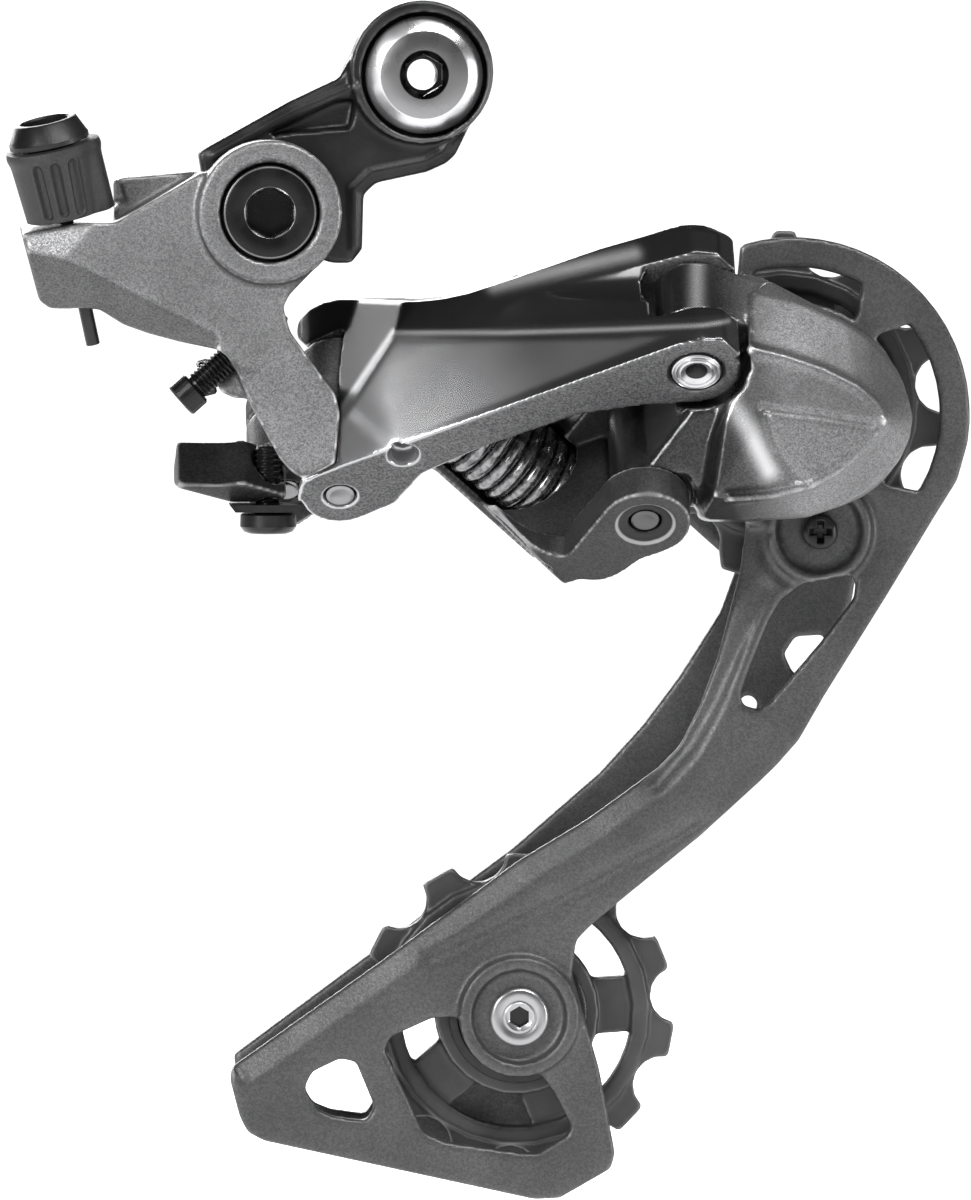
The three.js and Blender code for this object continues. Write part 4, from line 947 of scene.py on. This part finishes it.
def pulley_bolt(node, head_first):
    """A pulley's bolt; its socket head is at the outboard or the inboard end."""
    axis = INBOARD if head_first else -INBOARD
    start, end = reach(node, centre(node), axis)
    length = end - start
    head = 1.2 if head_first else 1.8
    rings = [
        (1.5, 0), (1.5, hexagon(1.25)), (0.25, hexagon(1.3)), (0.05, 1.75), (0, 1.95), (0.1, 2.1),
        (0.1, 2.45), (0, 2.6), (0, 3.55), (0.12, 3.8), (0.35, 4), (head, 4), (head, 2.5),
        (length - 0.3, 2.5), (length, 2.2), (length, 0),
    ]
    place_at = seat(node, centre(node), axis)
    material = None
    if SLOT_OF[node] == "bright_steel":
        material = turned_steel(f"{node}_steel", place_at.translation, axis, 0.4)
    stands_for(loft(f"{node}_turned", rings, place_at), node, material)


def cap(node):
    """A pulley's side cap: a pressed ring with a rolled rim."""
    axis = -INBOARD if "inner" in node else INBOARD
    rings = [
        (0, 4.85), (0, 7.7), (0.15, 8.0), (0.15, 8.2), (0, 8.45), (0.05, 9.1), (0.3, 9.5),
        (0.6, 9.6), (1.2, 9.5), (1.2, 4.85),
    ]
    stands_for(loft(f"{node}_pressed", rings, seat(node, centre(node), axis)), node)


def near_cage_axis(line):
    """A line given by (x, z) offsets from the cage's axle, as frame millimetres."""
    axis = joint_point("cage_pivot") / MM
    return [(axis.x + x, axis.z + z) for x, z in line]


# Lines of painted highlight on the P knuckle's barrel and cheek, as (x, z) millimetres of the
# frame.
BARREL_SHINE = [(36.6, -33.1), (36.2, -38.4)]
CHEEK_SHINE = [(40.4, -50.9), (43.1, -55.2), (45.9, -60.7)]


def p_knuckle():
    """The nose has a beaded ridge round its blade and two creases across it."""
    ridge = near_cage_axis([
        (-10.3, 9.6), (-5.4, 8.4), (-0.4, 6.7), (4.2, 4.4), (7.0, 2.0), (8.0, 0.7), (7.4, -1.2),
        (4.9, -4.1), (1.4, -6.9), (-2.1, -8.7), (-7.4, -10.0), (-12.8, -10.4),
    ])
    crease = near_cage_axis([(-8.3, 1.6), (-0.7, 0.7), (7.2, -0.6)])
    bend = near_cage_axis([(-8.3, 1.6), (-7.7, -0.5), (-6.4, -4.2), (-3.9, -7.4), (-2.7, -8.3)])

    def shift(points, normals):
        rise = 0.6 * swell(distance_to_line(points, ridge), 0.7)
        rise -= 0.4 * swell(distance_to_line(points, crease), 0.6)
        rise -= 0.4 * swell(distance_to_line(points, bend), 0.6)
        outboard = np.clip(-2 * normals[:, 1] - 0.4, 0, 1)
        return normals * (rise * outboard)[:, None]

    obj = sculpt(refined("p_knuckle", 0.33, 10), shift)
    points, normals = vertex_data(obj.data)
    # painted highlights along the barrel and cheek lines, read by nose_paint
    shine = np.maximum(swell(distance_to_line(points, BARREL_SHINE), 1.0),
                       0.8 * swell(distance_to_line(points, CHEEK_SHINE), 1.2))
    remember(obj.data, "shine", shine * np.clip(-2 * normals[:, 1], 0, 1))
    return obj


def outer_cage_plate():
    """Shallow valleys run along the neck and the tail, and a bead rings the stop pin's dish."""
    neck = near_cage_axis([
        (-6.1, -24.4), (-7.9, -28.6), (-10.3, -33.4), (-13.0, -39.6), (-16.5, -45.8),
        (-21.3, -51.3),
    ])
    tail = near_cage_axis([(-52.3, -75.0), (-36.6, -67.6), (-30.3, -64.5), (-15.0, -56.2)])
    pin = centre("stop_pin") / MM

    def shift(points, normals):
        rise = -0.45 * swell(distance_to_line(points, neck), 1.2)
        rise -= 0.4 * swell(distance_to_line(points, tail), 1.0)
        from_pin = np.hypot(points[:, 0] - pin.x, points[:, 2] - pin.z)
        rise += 0.35 * swell(from_pin - 6.6, 0.6)
        rise -= 0.3 * swell(from_pin - 8.2, 0.7)
        outboard = np.clip(-2 * normals[:, 1] - 0.6, 0, 1)
        return normals * (rise * outboard)[:, None]

    return sculpt(refined("outer_cage_plate"), shift)


def carrier_and_cage():
    stands_for(p_knuckle(), "p_knuckle", FINISH["nose_paint"])
    stands_for(outer_cage_plate(), "outer_cage_plate")
    stands_for(refined("inner_cage_plate"), "inner_cage_plate")
    stop_pin()
    for wheel in ("guide", "tension"):
        stands_for(refined(f"{wheel}_pulley", 0.3, 5), f"{wheel}_pulley")
        pulley_bolt(f"{wheel}_bolt", wheel == "tension")
        cap(f"{wheel}_outer_cap")
        cap(f"{wheel}_inner_cap")


def remaining_nodes():
    """CAD nodes that are shown as they are get their slot's finish."""
    for name, node in NODES.items():
        if not node.hide_render:
            node.data.materials.clear()
            node.data.materials.append(FINISH[SLOT_OF[name]])


bracket()
knuckle()
links()
carrier_and_cage()
remaining_nodes()


# ---- Stage -----------------------------------------------------------------------------------
LOW, HIGH = (Vector(corner) for corner in cad_bounds)
MIDDLE = (LOW + HIGH) / 2
WHITE_TO_CAMERA = 1.2  # glow enough to come out as plain white


def floor():
    """A wide pale floor, low enough for every pose. It is white to the camera."""
    drop = 0.1
    half = 12.0
    bm = bmesh.new()
    corners = [(-half, -half), (half, -half), (half, half), (-half, half)]
    bm.faces.new([bm.verts.new((x, y, LOW.z - drop)) for x, y in corners])
    obj = finished("floor", bm)
    s = Surface("floor_paper")
    paper = s.step(s.noise(60, 3), 0.3, 0.7, 0.78, 0.8)
    seen = s.camera_ray()
    obj.data.materials.append(s.done(
        s.blend(seen, 0.7, paper), 0.9, bump=s.noise(3, 3), depth=0.02,
        glow=s.blend(seen, 0.75, WHITE_TO_CAMERA), specular=0.0,
    ))


def area_light(name, at, size, power):
    lamp = bpy.data.lights.new(name, "AREA")
    lamp.shape = "RECTANGLE"
    lamp.size, lamp.size_y = size
    lamp.energy = power
    obj = bpy.data.objects.new(name, lamp)
    bpy.context.scene.collection.objects.link(obj)
    obj.location = MIDDLE + Vector(at)
    obj.rotation_euler = (MIDDLE - obj.location).to_track_quat("-Z", "Y").to_euler()
    obj.visible_camera = False


def world():
    """A dim studio, lighter low down and nearly black overhead, but white to the camera."""
    scene = bpy.context.scene
    scene.world = bpy.data.worlds.new("studio")
    scene.world.use_nodes = True
    tree = scene.world.node_tree
    tree.nodes.clear()
    coords = tree.nodes.new("ShaderNodeTexCoord")
    split = tree.nodes.new("ShaderNodeSeparateXYZ")
    fade = tree.nodes.new("ShaderNodeMapRange")
    fade.interpolation_type = "SMOOTHSTEP"
    for socket, number in zip(fade.inputs[1:5], (-0.3, 0.6, 0.4, 0.03)):
        socket.default_value = number
    background = tree.nodes.new("ShaderNodeBackground")
    output = tree.nodes.new("ShaderNodeOutputWorld")
    tree.links.new(coords.outputs["Generated"], split.inputs[0])
    tree.links.new(split.outputs["Z"], fade.inputs[0])
    seen = tree.nodes.new("ShaderNodeLightPath")
    mix = tree.nodes.new("ShaderNodeMix")
    mix.inputs[3].default_value = WHITE_TO_CAMERA
    tree.links.new(seen.outputs["Is Camera Ray"], mix.inputs[0])
    tree.links.new(fade.outputs[0], mix.inputs[2])
    tree.links.new(mix.outputs[0], background.inputs["Strength"])
    tree.links.new(background.outputs[0], output.inputs["Surface"])
    background.inputs["Color"].default_value = (1, 1, 1, 1)


CAMERA_TARGET = Vector((0.008731, 0, -0.079537))
CAMERA_DISTANCE = 1.5
CAMERA_AZIMUTH = math.radians(2.5)
CAMERA_ELEVATION = math.radians(3.3)
FOCAL_LENGTH = 405.4  # millimetres, for a 36 mm wide sensor


def camera():
    """The viewing angle: a little behind the bolt and a little above it, from far outboard."""
    lens = bpy.data.cameras.new("camera")
    lens.sensor_fit = "HORIZONTAL"
    lens.sensor_width = 36
    lens.lens = FOCAL_LENGTH
    lens.clip_end = 20
    obj = bpy.data.objects.new("camera", lens)
    bpy.context.scene.collection.objects.link(obj)
    away = Vector((
        -math.sin(CAMERA_AZIMUTH) * math.cos(CAMERA_ELEVATION),
        -math.cos(CAMERA_AZIMUTH) * math.cos(CAMERA_ELEVATION),
        math.sin(CAMERA_ELEVATION),
    ))
    obj.location = CAMERA_TARGET + away * CAMERA_DISTANCE
    obj.rotation_euler = (-away).to_track_quat("-Z", "Y").to_euler()
    bpy.context.scene.camera = obj


floor()
area_light("key", (-0.9, -1.0, 0.5), (0.5, 0.6), 13)
area_light("overhead", (0.25, -0.55, 0.9), (0.9, 0.15), 9)
area_light("side", (1.0, -0.5, -0.1), (0.12, 0.8), 5)
area_light("back", (-0.4, 1.2, 0.5), (0.9, 0.5), 12)
world()
camera()
bpy.context.scene.view_settings.view_transform = "Standard"
